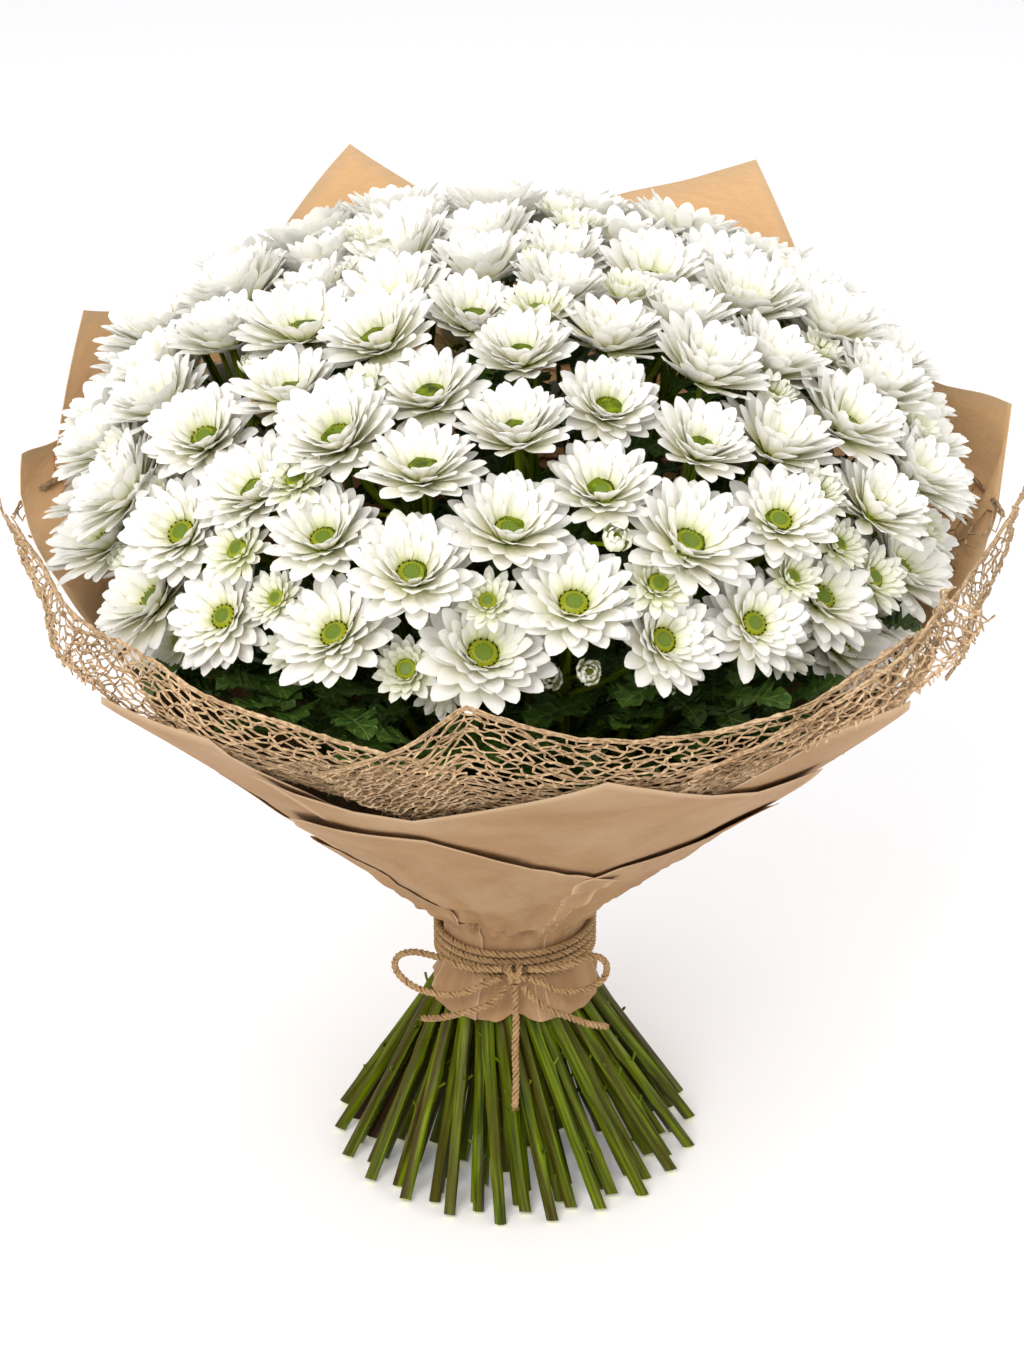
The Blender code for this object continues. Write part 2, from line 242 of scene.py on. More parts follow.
def around(side: Vector, other: Vector, angle: float) -> Vector:
    """The direction at an angle from one of two square axes towards the other."""
    return side * math.cos(angle) + other * math.sin(angle)


def tube_faces(rows: int, sides: int) -> list[tuple[int, ...]]:
    """The faces of a tube closed at both ends.

    Args:
        rows: How many rings of points it has.
        sides: How many points a ring has.

    Returns:
        The faces, as indices into its points, ring after ring.
    """
    quads = [(a + k, a + (k + 1) % sides, a + sides + (k + 1) % sides, a + sides + k) for a in range(0,
        (rows - 1) * sides, sides) for k in range(sides)]
    return [tuple(reversed(range(sides))), *quads, tuple(range((rows - 1) * sides, rows * sides))]


@dataclass
class Draft:
    """Vertices, faces and per-vertex values gathered into one mesh.

    Args:
        values: The names of the attributes that every added part gives.
    """

    values: tuple[str, ...] = ()
    points: list[Point] = field(default_factory=list)
    faces: list[tuple[int, ...]] = field(default_factory=list)
    layers: dict[str, list] = field(default_factory=dict)

    def add(self, points: Sequence[Point], faces: Iterable[Sequence[int]], **values: object) -> None:
        """Append a part.

        Args:
            points: The part's vertices.
            faces: The part's faces, as indices into points.
            **values: For each named attribute, one number or one number or vector a vertex.
        """
        start = len(self.points)
        self.points.extend(points)
        self.faces.extend(tuple(start + i for i in face) for face in faces)
        for name in self.values:
            given = values.get(name, 0.0)
            spread = [given] * len(points) if isinstance(given, (int, float)) else given
            self.layers.setdefault(name, []).extend(spread)

    def absorb(self, mesh: bpy.types.Mesh) -> None:
        """Add a finished mesh with its values, and remove it.

        Args:
            mesh: The mesh.
        """
        count = len(mesh.vertices)
        flat = np.zeros(count * 3, np.float32)
        mesh.vertices.foreach_get("co", flat)
        values = {}
        for name in self.values:
            numbers = np.zeros(count, np.float32)
            mesh.attributes[name].data.foreach_get("value", numbers)
            values[name] = numbers.tolist()
        self.add(flat.reshape(-1, 3).tolist(), [tuple(face.vertices) for face in mesh.polygons], **values)
        bpy.data.meshes.remove(mesh)

    def mesh(self, name: str) -> bpy.types.Mesh:
        """The gathered mesh, smooth but for its sharp edges.

        Args:
            name: The mesh's name.

        Returns:
            A new mesh with the attributes on its points.
        """
        mesh = bpy.data.meshes.new(name)
        mesh.from_pydata([tuple(point) for point in self.points], [], self.faces)
        for layer, given in self.layers.items():
            numbers = np.array(given, np.float32)
            kind, key = ("FLOAT", "value") if numbers.ndim == 1 else ("FLOAT_VECTOR", "vector")
            mesh.attributes.new(layer, kind, "POINT").data.foreach_set(key, numbers.ravel())
        mesh.shade_smooth()
        mesh.set_sharp_from_angle(angle=SHARP_ANGLE)
        mesh.validate()
        return mesh

    def piece(self, name: str, material: bpy.types.Material) -> bpy.types.Object:
        """Make the gathered mesh an object in the scene.

        Args:
            name: The piece's name.
            material: Its finish.

        Returns:
            The piece.
        """
        mesh = self.mesh(name)
        mesh.materials.append(material)
        return add_object(name, mesh)


def add_object(name: str, data: bpy.types.ID) -> bpy.types.Object:
    """Link new data to the scene.

    Args:
        name: The object's name.
        data: Its mesh, light or camera.

    Returns:
        The object, at the origin.
    """
    made = bpy.data.objects.new(name, data)
    bpy.context.scene.collection.objects.link(made)
    return made


def register(piece: bpy.types.Object, slot: Slot, *nodes: str) -> None:
    """Let a finished piece ride on the bunch and take the place of its CAD nodes.

    Args:
        piece: The piece.
        slot: Its material slot; not used.
        *nodes: The nodes it replaces.
    """
    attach(piece, BODY)
    if nodes:
        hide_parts(*nodes)
    LOG.info("%s: %d faces", piece.name, len(piece.data.polygons))


# --------------------------------------------------------------------------- node trees


class NodeTree:
    """A node tree, with short calls to add and link its nodes."""

    def __init__(self, tree: bpy.types.NodeTree) -> None:
        """Take over an empty tree."""
        self.tree = tree

    def feed(self, socket: Socket, value: Value) -> None:
        """Link an input to an output, or set it.

        Args:
            socket: The input.
            value: An output socket, a number or a colour.
        """
        if isinstance(value, Socket):
            self.tree.links.new(value, socket)
        elif socket.type == "RGBA":
            socket.default_value = (*value, 1)
        else:
            socket.default_value = value

    def node(self, kind: str, inputs: dict[str | int, Value] | None = None,
            **settings: object) -> bpy.types.Node:
        """Add a node.

        Args:
            kind: Its type.
            inputs: What feeds each input, by its name or its place.
            **settings: Its properties.

        Returns:
            The node.
        """
        made = self.tree.nodes.new(kind)
        for name, value in settings.items():
            setattr(made, name, value)
        for key, value in (inputs or {}).items():
            self.feed(made.inputs[key], value)
        return made

    def math(self, operation: str, *values: Value, clamp: bool = False) -> Socket:
        """What a Math node works out from sockets or numbers, kept between 0 and 1 where clamped."""
        inputs = dict(enumerate(values))
        return self.node("ShaderNodeMath", inputs, operation=operation, use_clamp=clamp).outputs[0]


@cache
def noise_group(stretched: bool) -> bpy.types.NodeTree:
    """The shared shader group that turns a vector into a mask and a height.

    Args:
        stretched: Whether the noise is drawn out along the third axis.

    Returns:
        The node group.
    """
    made = NodeTree(bpy.data.node_groups.new("long_grain" if stretched else "mottle", "ShaderNodeTree"))
    new_socket = made.tree.interface.new_socket
    new_socket("Vector", in_out="INPUT", socket_type="NodeSocketVector")
    for label, start in (("Scale", 100.0), ("Stretch", 8.0), ("Low", 0.3), ("High", 0.7)):
        new_socket(label, in_out="INPUT", socket_type="NodeSocketFloat").default_value = start
    for label in ("Mask", "Height"):
        new_socket(label, in_out="OUTPUT", socket_type="NodeSocketFloat")
    given = made.node("NodeGroupInput").outputs
    vector = given["Vector"]
    if stretched:
        shrink = made.math("DIVIDE", 1.0, given["Stretch"])
        weights = made.node("ShaderNodeCombineXYZ", {"X": 1.0, "Y": 1.0, "Z": shrink}).outputs[0]
        vector = made.node("ShaderNodeVectorMath", {0: vector, 1: weights}, operation="MULTIPLY").outputs[0]
    texture = {"Vector": vector, "Scale": given["Scale"], "Detail": 5.0, "Roughness": 0.6}
    height = made.node("ShaderNodeTexNoise", texture).outputs["Fac"]
    limits = {"Value": height, "From Min": given["Low"], "From Max": given["High"]}
    mask = made.node("ShaderNodeMapRange", limits).outputs["Result"]
    made.node("NodeGroupOutput", {"Mask": mask, "Height": height})
    return made.tree


class ShaderTree(NodeTree):
    """A material's node tree."""

    def __init__(self, name: str) -> None:
        """Start a material.

        Args:
            name: Its name.
        """
        self.material = bpy.data.materials.new(name)
        self.material.use_nodes = True
        super().__init__(self.material.node_tree)
        self.shader = self.tree.nodes["Principled BSDF"]

    def attribute(self, name: str, output: str = "Fac") -> Socket:
        """The number or the vector stored on the mesh under a name."""
        return self.node("ShaderNodeAttribute", attribute_name=name).outputs[output]

    def place(self) -> Socket:
        """The object's own coordinates."""
        return self.node("ShaderNodeTexCoord").outputs["Object"]

    def noise(self, vector: Socket, scale: float, low: float = 0.3, high: float = 0.7,
            stretch: float = 0.0) -> bpy.types.NodeOutputs:
        """Place the shared noise group.

        Args:
            vector: The coordinates it reads.
            scale: Its scale.
            low: The noise that gives a mask of 0.
            high: The noise that gives a mask of 1.
            stretch: How far it is drawn out along the third axis, or 0.

        Returns:
            Its outputs, Mask and Height.
        """
        inputs = {"Vector": vector, "Scale": scale, "Low": low, "High": high}
        if stretch:
            inputs["Stretch"] = stretch
        return self.node("ShaderNodeGroup", node_tree=noise_group(stretch > 0), inputs=inputs).outputs

    def mix(self, share: Value, first: Value, second: Value, blend: str = "MIX") -> Socket:
        """Two colours mixed, by the share of the second and the kind of blend."""
        inputs = {0: share, 6: first, 7: second}
        return self.node("ShaderNodeMix", inputs, data_type="RGBA", blend_type=blend).outputs[2]

    def ramp(self, share: Socket, stops: Sequence[tuple[float, Colour]]) -> Socket:
        """Spread colours over a number.

        Args:
            share: The number.
            stops: The (place, colour) pairs.

        Returns:
            The colour.
        """
        made = self.node("ShaderNodeValToRGB", {"Fac": share})
        elements = made.color_ramp.elements
        while len(elements) < len(stops):
            elements.new(0.5)
        for element, (place, colour) in zip(elements, stops):
            element.position = place
            element.color = (*colour, 1)
        return made.outputs["Color"]

    def bump(self, height: Socket, strength: float, distance: float) -> Socket:
        """The normal that a height gives."""
        inputs = {"Height": height, "Strength": strength, "Distance": distance}
        return self.node("ShaderNodeBump", inputs).outputs["Normal"]

    def finish(self, **inputs: Value) -> bpy.types.Material:
        """Feed the shader itself.

        Args:
            **inputs: What feeds each input, with _ for a space.

        Returns:
            The material.
        """
        for name, value in inputs.items():
            self.feed(self.shader.inputs[name.replace("_", " ")], value)
        return self.material


class GeometryTree(NodeTree):
    """A Geometry Nodes tree with named inputs, run on a start mesh to give a plain mesh."""

    def __init__(self, name: str, **inputs: str) -> None:
        """Start the tree.

        Args:
            name: Its name.
            **inputs: The kind of each named input, with _ for a space.
        """
        super().__init__(bpy.data.node_groups.new(name, "GeometryNodeTree"))
        new_socket = self.tree.interface.new_socket
        for way in ("INPUT", "OUTPUT"):
            new_socket("Geometry", in_out=way, socket_type="NodeSocketGeometry")
        self.sockets = {label: new_socket(label.replace("_", " "), in_out="INPUT",
            socket_type=f"NodeSocket{kind}").identifier for label, kind in inputs.items()}
        self.given = self.node("NodeGroupInput").outputs
        self.result = self.node("NodeGroupOutput")

    def random(self, low: Value, high: Value, seed: Value) -> Socket:
        """A random number for each element, from low to high."""
        inputs = {2: low, 3: high, "Seed": seed}
        return self.node("FunctionNodeRandomValue", inputs, data_type="FLOAT").outputs[1]

    def copies(self, points: Socket, pick: Socket, turn: Socket, size: Socket) -> Socket:
        """Set the templates of the Shapes input on points.

        Args:
            points: The points.
            pick: Which template, by its place in name order.
            turn: How each is turned.
            size: How large each is.

        Returns:
            The copies, as instances.
        """
        shapes = self.node("GeometryNodeCollectionInfo", {"Collection": self.given["Shapes"],
            "Separate Children": True, "Reset Children": True})
        turned = self.node("FunctionNodeEulerToRotation", {0: turn}).outputs[0]
        return self.node("GeometryNodeInstanceOnPoints", {"Points": points, "Instance": shapes.outputs[0],
            "Pick Instance": True, "Instance Index": pick, "Rotation": turned, "Scale": size}).outputs[0]

    def end(self, geometry: Socket) -> None:
        """Close the tree: realize the instances and set the material.

        Args:
            geometry: What the tree has made.
        """
        real = self.node("GeometryNodeRealizeInstances", {0: geometry}).outputs[0]
        inputs = {"Geometry": real, "Material": self.given["Material"]}
        self.feed(self.result.inputs[0], self.node("GeometryNodeSetMaterial", inputs).outputs[0])

    def run(self, name: str, start: bpy.types.Mesh, **inputs: object) -> bpy.types.Mesh:
        """Run the tree on a start mesh.

        Args:
            name: The new mesh's name.
            start: The mesh that the tree begins from.
            **inputs: The tree's named inputs, with _ for a space.

        Returns:
            The result as a plain mesh, with nothing live on it.
        """
        carrier = add_object(f"{name}_start", start)
        modifier = carrier.modifiers.new("Build", "NODES")
        modifier.node_group = self.tree
        for label, value in inputs.items():
            modifier[self.sockets[label]] = value
        depsgraph = bpy.context.evaluated_depsgraph_get()
        mesh = bpy.data.meshes.new_from_object(carrier.evaluated_get(depsgraph))
        bpy.data.objects.remove(carrier)
        mesh.name = name
        return mesh


class Whorl(GeometryTree):
    """Petals or bracts set in a ring round the middle of a head."""

    def __init__(self) -> None:
        """Build the tree."""
        super().__init__("whorl", Shapes="Collection", Shape_Count="Int", Count="Int", Ring_Radius="Float",
            Height="Float", Rise="Float", Rise_Jitter="Float", Turn="Float", Turn_Jitter="Float",
            Roll_Jitter="Float", Size_Jitter="Float", Seed="Int", Material="Material")
        given = self.given
        ring = self.node("GeometryNodeMeshCircle", {"Vertices": given["Count"],
            "Radius": given["Ring Radius"]})
        step = self.math("DIVIDE", math.tau, given["Count"])
        flat = self.math("MULTIPLY", self.node("GeometryNodeInputIndex").outputs[0], step)
        turned = self.math("ADD", flat, self._spread("Turn Jitter", 1))
        rise = self.math("ADD", given["Rise"], self._spread("Rise Jitter", 2))
        angles = {"X": self._spread("Roll Jitter", 3), "Y": self.math("MULTIPLY", rise, -1.0), "Z": turned}
        facing = self.node("ShaderNodeCombineXYZ", angles).outputs[0]
        size = self.math("ADD", 1.0, self._spread("Size Jitter", 4))
        last = self.math("SUBTRACT", given["Shape Count"], 1.0)
        pick = self.node("FunctionNodeRandomValue", {"Seed": self._seed(5), 5: last},
            data_type="INT").outputs[2]
        toned = self.node("GeometryNodeStoreNamedAttribute",
            {"Geometry": self.copies(ring.outputs["Mesh"], pick, facing, size), "Name": "tone",
            "Value": self.random(0.0, 1.0, self._seed(6))}, data_type="FLOAT", domain="INSTANCE")
        lifted, spun = (self.node("ShaderNodeCombineXYZ", {"Z": given[label]}) for label in ("Height",
            "Turn"))
        moves = {"Geometry": toned.outputs[0], "Translation": lifted.outputs[0], "Rotation": spun.outputs[0]}
        self.end(self.node("GeometryNodeTransform", moves).outputs["Geometry"])

    def _seed(self, offset: int) -> Socket:
        """The seed of one kind of chance."""
        return self.math("ADD", self.given["Seed"], float(offset))

    def _spread(self, label: str, offset: int) -> Socket:
        """A random number from minus to plus a named input, with its own seed."""
        reach = self.given[label]
        return self.random(self.math("MULTIPLY", reach, -1.0), reach, self._seed(offset))


class Marks(GeometryTree):
    """Templates set on marked points that say which one, how it is turned and how large."""

    def __init__(self) -> None:
        """Build the tree."""
        super().__init__("marks", Shapes="Collection", Material="Material")
        pick, turn, size = (self.node("GeometryNodeInputNamedAttribute", {"Name": name},
            data_type=kind).outputs["Attribute"] for name, kind in (("pick", "INT"),
            ("facing", "FLOAT_VECTOR"), ("size", "FLOAT")))
        self.end(self.copies(self.given["Geometry"], pick, turn, size))

    def place(self, name: str, marks: Sequence[Mark], shapes: bpy.types.Collection,
            material: bpy.types.Material) -> bpy.types.Mesh:
        """One mesh with a template at every mark.

        Args:
            name: The new mesh's name.
            marks: Where each copy goes.
            shapes: The templates, picked by their place in name order.
            material: The material of the copies.

        Returns:
            The plain mesh.
        """
        start = bpy.data.meshes.new(f"{name}_marks")
        start.from_pydata([tuple(mark.point) for mark in marks], [], [])
        turns = [angle for mark in marks for angle in mark.facing]
        for label, kind, key, numbers in (("pick", "INT", "value", [mark.pick for mark in marks]),
                ("size", "FLOAT", "value", [mark.size for mark in marks]),
                ("facing", "FLOAT_VECTOR", "vector", turns)):
            start.attributes.new(label, kind, "POINT").data.foreach_set(key, numbers)
        return self.run(name, start, Shapes=shapes, Material=material)


@dataclass(frozen=True)
class Mark:
    """Where one copy of a template goes."""

    point: Vector
    facing: Euler
    size: float
    pick: int


def facing_turn(direction: Vector, spin: float) -> Euler:
    """The turn that takes a template's +Z to a direction, after a spin about its own axis."""
    lean = UP.rotation_difference(direction.normalized()).to_matrix()
    return (lean @ Matrix.Rotation(spin, 3, "Z")).to_euler()


# --------------------------------------------------------------------------- finishes


@dataclass(frozen=True)
class BloomFinish:
    """White petals with cream-green bases, and the green disc with its florets."""

    white: Colour = (0.95, 0.93, 0.87)
    ivory: Colour = (0.94, 0.915, 0.71)
    throat: Colour = (0.76, 0.77, 0.38)
    base: Colour = (0.46, 0.52, 0.09)
    young: Colour = (0.74, 0.78, 0.40)
    disc_rim: Colour = (0.44, 0.44, 0.01)
    disc_heart: Colour = (0.12, 0.18, 0.008)
    dot: Colour = (0.03, 0.035, 0.008)
    vein_bump: float = 0.16
    glow: float = 0.35

    def build(self) -> bpy.types.Material:
        """Build the nodes.

        Returns:
            The material.
        """
        tree = ShaderTree("chrysanthemum_petal")
        along, across, tone, part = map(tree.attribute, ("along", "across", "tone", "part"))
        stops = [(0.0, self.base), (0.15, self.throat), (0.38, self.ivory), (0.72, self.white),
            (1.0, self.white)]
        youth = tree.math("MULTIPLY", part, tree.math("SUBTRACT", 1.25, along), clamp=True)
        petal = tree.mix(youth, tree.ramp(along, stops), self.young)
        toned = tree.mix(1.0, petal, tree.math("MULTIPLY_ADD", tone, 0.05, 0.96), "MULTIPLY")
        disc = tree.ramp(along, [(0.0, self.disc_heart), (0.55, self.disc_heart), (1.0, self.disc_rim)])
        headed = tree.mix(tree.math("GREATER_THAN", part, 0.95), toned, disc)
        ridges = tree.math("SINE", tree.math("MULTIPLY", across, 9.0))
        mottle = tree.noise(tree.place(), 900.0)
        height = tree.math("ADD", ridges, tree.math("MULTIPLY", mottle["Height"], 1.2))
        return tree.finish(Base_Color=tree.mix(tree.math("GREATER_THAN", part, 1.5), headed, self.dot),
            Normal=tree.bump(height, self.vein_bump, 0.0002), Roughness=0.48, Specular_IOR_Level=0.35,
            Subsurface_Weight=self.glow, Subsurface_Radius=(1.0, 1.0, 0.9), Subsurface_Scale=0.002)


@dataclass(frozen=True)
class GreenFinish:
    """The stems and calyxes: green with darker streaks, brown-purple low down."""

    fresh: Colour = (0.165, 0.225, 0.002)
    deep: Colour = (0.008, 0.022, 0.001)
    woody: Colour = (0.046, 0.020, 0.006)
    pale: Colour = (0.33, 0.31, 0.04)
    cut: Colour = (0.62, 0.56, 0.10)
    roughness: float = 0.38

    def build(self) -> bpy.types.Material:
        """Build the nodes.

        Returns:
            The material.
        """
        tree = ShaderTree("stem_green")
        run = tree.attribute("grain", "Vector")
        streak = tree.noise(run, 420.0, 0.36, 0.68, stretch=26.0)
        patch = tree.noise(run, 160.0, 0.40, 0.60, stretch=14.0)
        speck = tree.noise(run, 900.0, 0.70, 0.75)
        green = tree.mix(streak["Mask"], self.fresh, self.deep)
        aged = tree.mix(tree.math("MULTIPLY", tree.attribute("age"), patch["Mask"]), green, self.woody)
        dotted = tree.mix(tree.math("MULTIPLY", speck["Mask"], 0.6), aged, self.pale)
        height = tree.math("ADD", streak["Height"], speck["Mask"])
        return tree.finish(Base_Color=tree.mix(tree.attribute("cut"), dotted, self.cut),
            Specular_IOR_Level=0.13, Roughness=tree.math("MULTIPLY_ADD", patch["Mask"], 0.16, self.roughness
            - 0.08), Normal=tree.bump(height, 0.35, 0.0002))


@dataclass(frozen=True)
class LeafFinish:
    """The lobed leaves: a paler midrib and side veins on mottled green."""

    blade: Colour = (0.056, 0.125, 0.009)
    shade: Colour = (0.018, 0.050, 0.005)
    vein: Colour = (0.14, 0.22, 0.035)

    def build(self) -> bpy.types.Material:
        """Build the nodes.

        Returns:
            The material.
        """
        tree = ShaderTree("leaf_green")
        mottle = tree.noise(tree.place(), 240.0, 0.32, 0.68)
        body = tree.mix(mottle["Mask"], self.blade, self.shade)
        reach = tree.math("ABSOLUTE", tree.attribute("across"))
        midrib = tree.math("SUBTRACT", 1.0, tree.math("MULTIPLY", reach, 9.0), clamp=True)
        slant = tree.math("MULTIPLY_ADD", reach, -0.16, tree.attribute("along"))
        ribs = tree.math("SINE", tree.math("MULTIPLY", slant, 38.0))
        side_rib = tree.math("SUBTRACT", tree.math("MULTIPLY", ribs, 5.0), 4.1, clamp=True)
        vein = tree.math("MAXIMUM", midrib, side_rib)
        return tree.finish(Base_Color=tree.mix(tree.math("MULTIPLY", vein, 0.7), body, self.vein),
            Roughness=0.5, Normal=tree.bump(tree.math("SUBTRACT", mottle["Height"], vein), 0.5, 0.0006))


@dataclass(frozen=True)
class KraftFinish:
    """Brown kraft paper: fine fibres, faint flecks, a painted sheen in random paler patches, painted
    backlight high on the side and back sheets, and a painted highlight along the cut edges.
    """

    tan: Colour = (0.425, 0.253, 0.125)
    dark: Colour = (0.305, 0.166, 0.073)
    fleck: Colour = (0.22, 0.11, 0.045)
    # Painted highlight along the cut edges, where the paper's thickness catches the light.
    edge: Colour = (0.62, 0.44, 0.27)
    # Painted backlight: the paper high up on the side and back sheets, as if lit through from behind.
    lit: Colour = (0.84, 0.52, 0.265)
    # Painted sheen, laid over the paper in random patches.
    painted_sheen: Colour = (0.47, 0.325, 0.195)

    def build(self) -> bpy.types.Material:
        """Build the nodes.

        Returns:
            The material.
        """
        tree = ShaderTree("kraft_paper")
        run = tree.attribute("grain", "Vector")
        fibre = tree.noise(run, 1400.0, 0.3, 0.72, stretch=5.0)
        cloud = tree.math("MULTIPLY", tree.noise(run, 26.0, 0.34, 0.66)["Mask"], 0.5)
        colour = tree.mix(tree.math("MULTIPLY_ADD", fibre["Mask"], 0.5, cloud), self.tan, self.dark)
        # Over the fibres and clouds: painted sheen in random patches, dark flecks, painted backlight on the
        # upper side and back sheets, and a painted highlight along the cut edges.
        for mask, share, over in ((tree.noise(run, 11.0, 0.48, 0.68)["Mask"], 0.55, self.painted_sheen),
                (tree.noise(run, 700.0, 0.7, 0.76)["Mask"], 0.35, self.fleck),
                (tree.attribute("free"), 0.9, self.lit), (tree.attribute("edge"), 0.75, self.edge)):
            colour = tree.mix(tree.math("MULTIPLY", mask, share), colour, over)
        height = tree.math("MULTIPLY_ADD", tree.noise(run, 75.0)["Height"], 7.0, fibre["Height"])
        normal = tree.bump(height, 0.5, 0.0004)
        return tree.finish(Base_Color=colour, Roughness=0.78, Specular_IOR_Level=0.3, Normal=normal)


@dataclass(frozen=True)
class FibreFinish:
    """Plant fibre, for the twine and for the net: streaked along the strand, with painted shade in the
    grooves between the twine's plies.
    """

    name: str
    light: Colour
    dark: Colour
    scale: float

    def build(self) -> bpy.types.Material:
        """Build the nodes.

        Returns:
            The material.
        """
        tree = ShaderTree(self.name)
        fine = tree.noise(tree.place(), self.scale, 0.32, 0.68)
        wide = tree.noise(tree.place(), 40.0)["Mask"]
        share = tree.math("MULTIPLY_ADD", wide, 0.35, tree.math("MULTIPLY", fine["Mask"], 0.65))
        # Painted shade in the grooves between the plies.
        groove = tree.math("MULTIPLY", tree.attribute("groove"), 0.85)
        colour = tree.mix(groove, tree.mix(share, self.light, self.dark), self.dark)
        normal = tree.bump(fine["Height"], 0.6, 0.0004)
        return tree.finish(Base_Color=colour, Roughness=0.85, Specular_IOR_Level=0.25, Normal=normal)


@dataclass(frozen=True)
class FloorFinish:
    """The plain pale floor."""

    pale: Colour = (0.90, 0.905, 0.92)
    lift: float = 0.10

    def build(self) -> bpy.types.Material:
        """The material."""
        glow = {"Emission_Color": (1, 1, 1), "Emission_Strength": self.lift}
        return ShaderTree("pale_floor").finish(Base_Color=self.pale, Roughness=0.8, **glow)


# --------------------------------------------------------------------------- heads and stems


@dataclass(frozen=True)
class TierPlan:
    """How many sprays a tier holds, and where their heads sit, in millimetres."""

    sprays: int
    down: tuple[int, ...]
    across: tuple[int, ...] | None
    node_depth: int


TIERS: dict[Tier, TierPlan] = {Tier.CROWN: TierPlan(1, (26, 26, 26), None, 72),
    Tier.UPPER: TierPlan(8, (70, 112, 112), (0, -22, 22), 78),
    Tier.MIDDLE: TierPlan(13, (158, 197, 197), (0, -23, 23), 82),
    Tier.OUTER: TierPlan(22, (238, 276, 314), (-14, 14, -14), 84)}


@dataclass
class Dome:
    """The flattened ball that the heads sit on, measured by the distance down from its top."""

    radius: float = 216 * MM
    half_height: float = 122 * MM
    mid_z: float = 391 * MM
    floor_z: float = 343 * MM
    lean: float = math.radians(64)
    upturn: float = 0.24
    samples: int = 400

    def __post_init__(self) -> None:
        """Tabulate the distance down the half section."""
        self.sweep = math.acos((self.floor_z - self.mid_z) / self.half_height)
        angles = [self.sweep * i / self.samples for i in range(self.samples + 1)]
        self.table = list(zip(distances([self.section(angle) for angle in angles]), angles))

    def section(self, angle: float) -> Vector:
        """The point of the half section at an angle from the top."""
        return Vector((self.radius * math.sin(angle), 0, self.mid_z + self.half_height * math.cos(angle)))

    def point(self, down: float, azimuth: float) -> Vector:
        """The surface point at a distance down from the top."""
        flat = self.section(interpolate(self.table, down))
        return polar(flat.x, azimuth, flat.z)

    def level(self, z: float) -> float:
        """A height as a share of the half height above the middle."""
        return (z - self.mid_z) / self.half_height

    def nearest(self, point: Vector, rise: float = 0.0) -> Vector:
        """The surface point straight out from the middle of the dome.

        Args:
            point: The point to bring to the surface.
            rise: How far above the foot of the dome it must stay.

        Returns:
            The surface point.
        """
        flat = Vector((point.x / self.radius, point.y / self.radius, self.level(point.z))).normalized()
        flat.z = max(flat.z, self.level(self.floor_z + rise))
        across = math.hypot(flat.x, flat.y)
        scale = math.sqrt(1 - flat.z * flat.z) / across if across > 0 else 1.0
        x, y = flat.x * scale * self.radius, flat.y * scale * self.radius
        return Vector((x, y, self.mid_z + flat.z * self.half_height))

    def facing(self, point: Vector) -> Vector:
        """The way a head faces: up at the top, leaning out towards the floor."""
        lean = self.lean * math.acos(max(-1.0, min(1.0, self.level(point.z)))) / self.sweep
        return polar(math.sin(lean), math.atan2(point.y, point.x), math.cos(lean))

    def turned(self, point: Vector) -> Vector:
        """The way an open bloom faces: out of the dome and a little further up."""
        return (self.facing(point) + UP * self.upturn).normalized()


@dataclass(frozen=True)
class SideHead:
    """A small head in a gap between the open ones."""

    kind: Head
    point: Vector
    facing: Vector
    size: float


@dataclass
class Spray:
    """One stem's worth of flowers."""

    tier: Tier
    azimuth: float
    heads: list[Vector]
    name: str = ""
    ring_azimuth: float = 0.0
    blooms: list[Vector] = field(default_factory=list)
    small: list[SideHead] = field(default_factory=list)


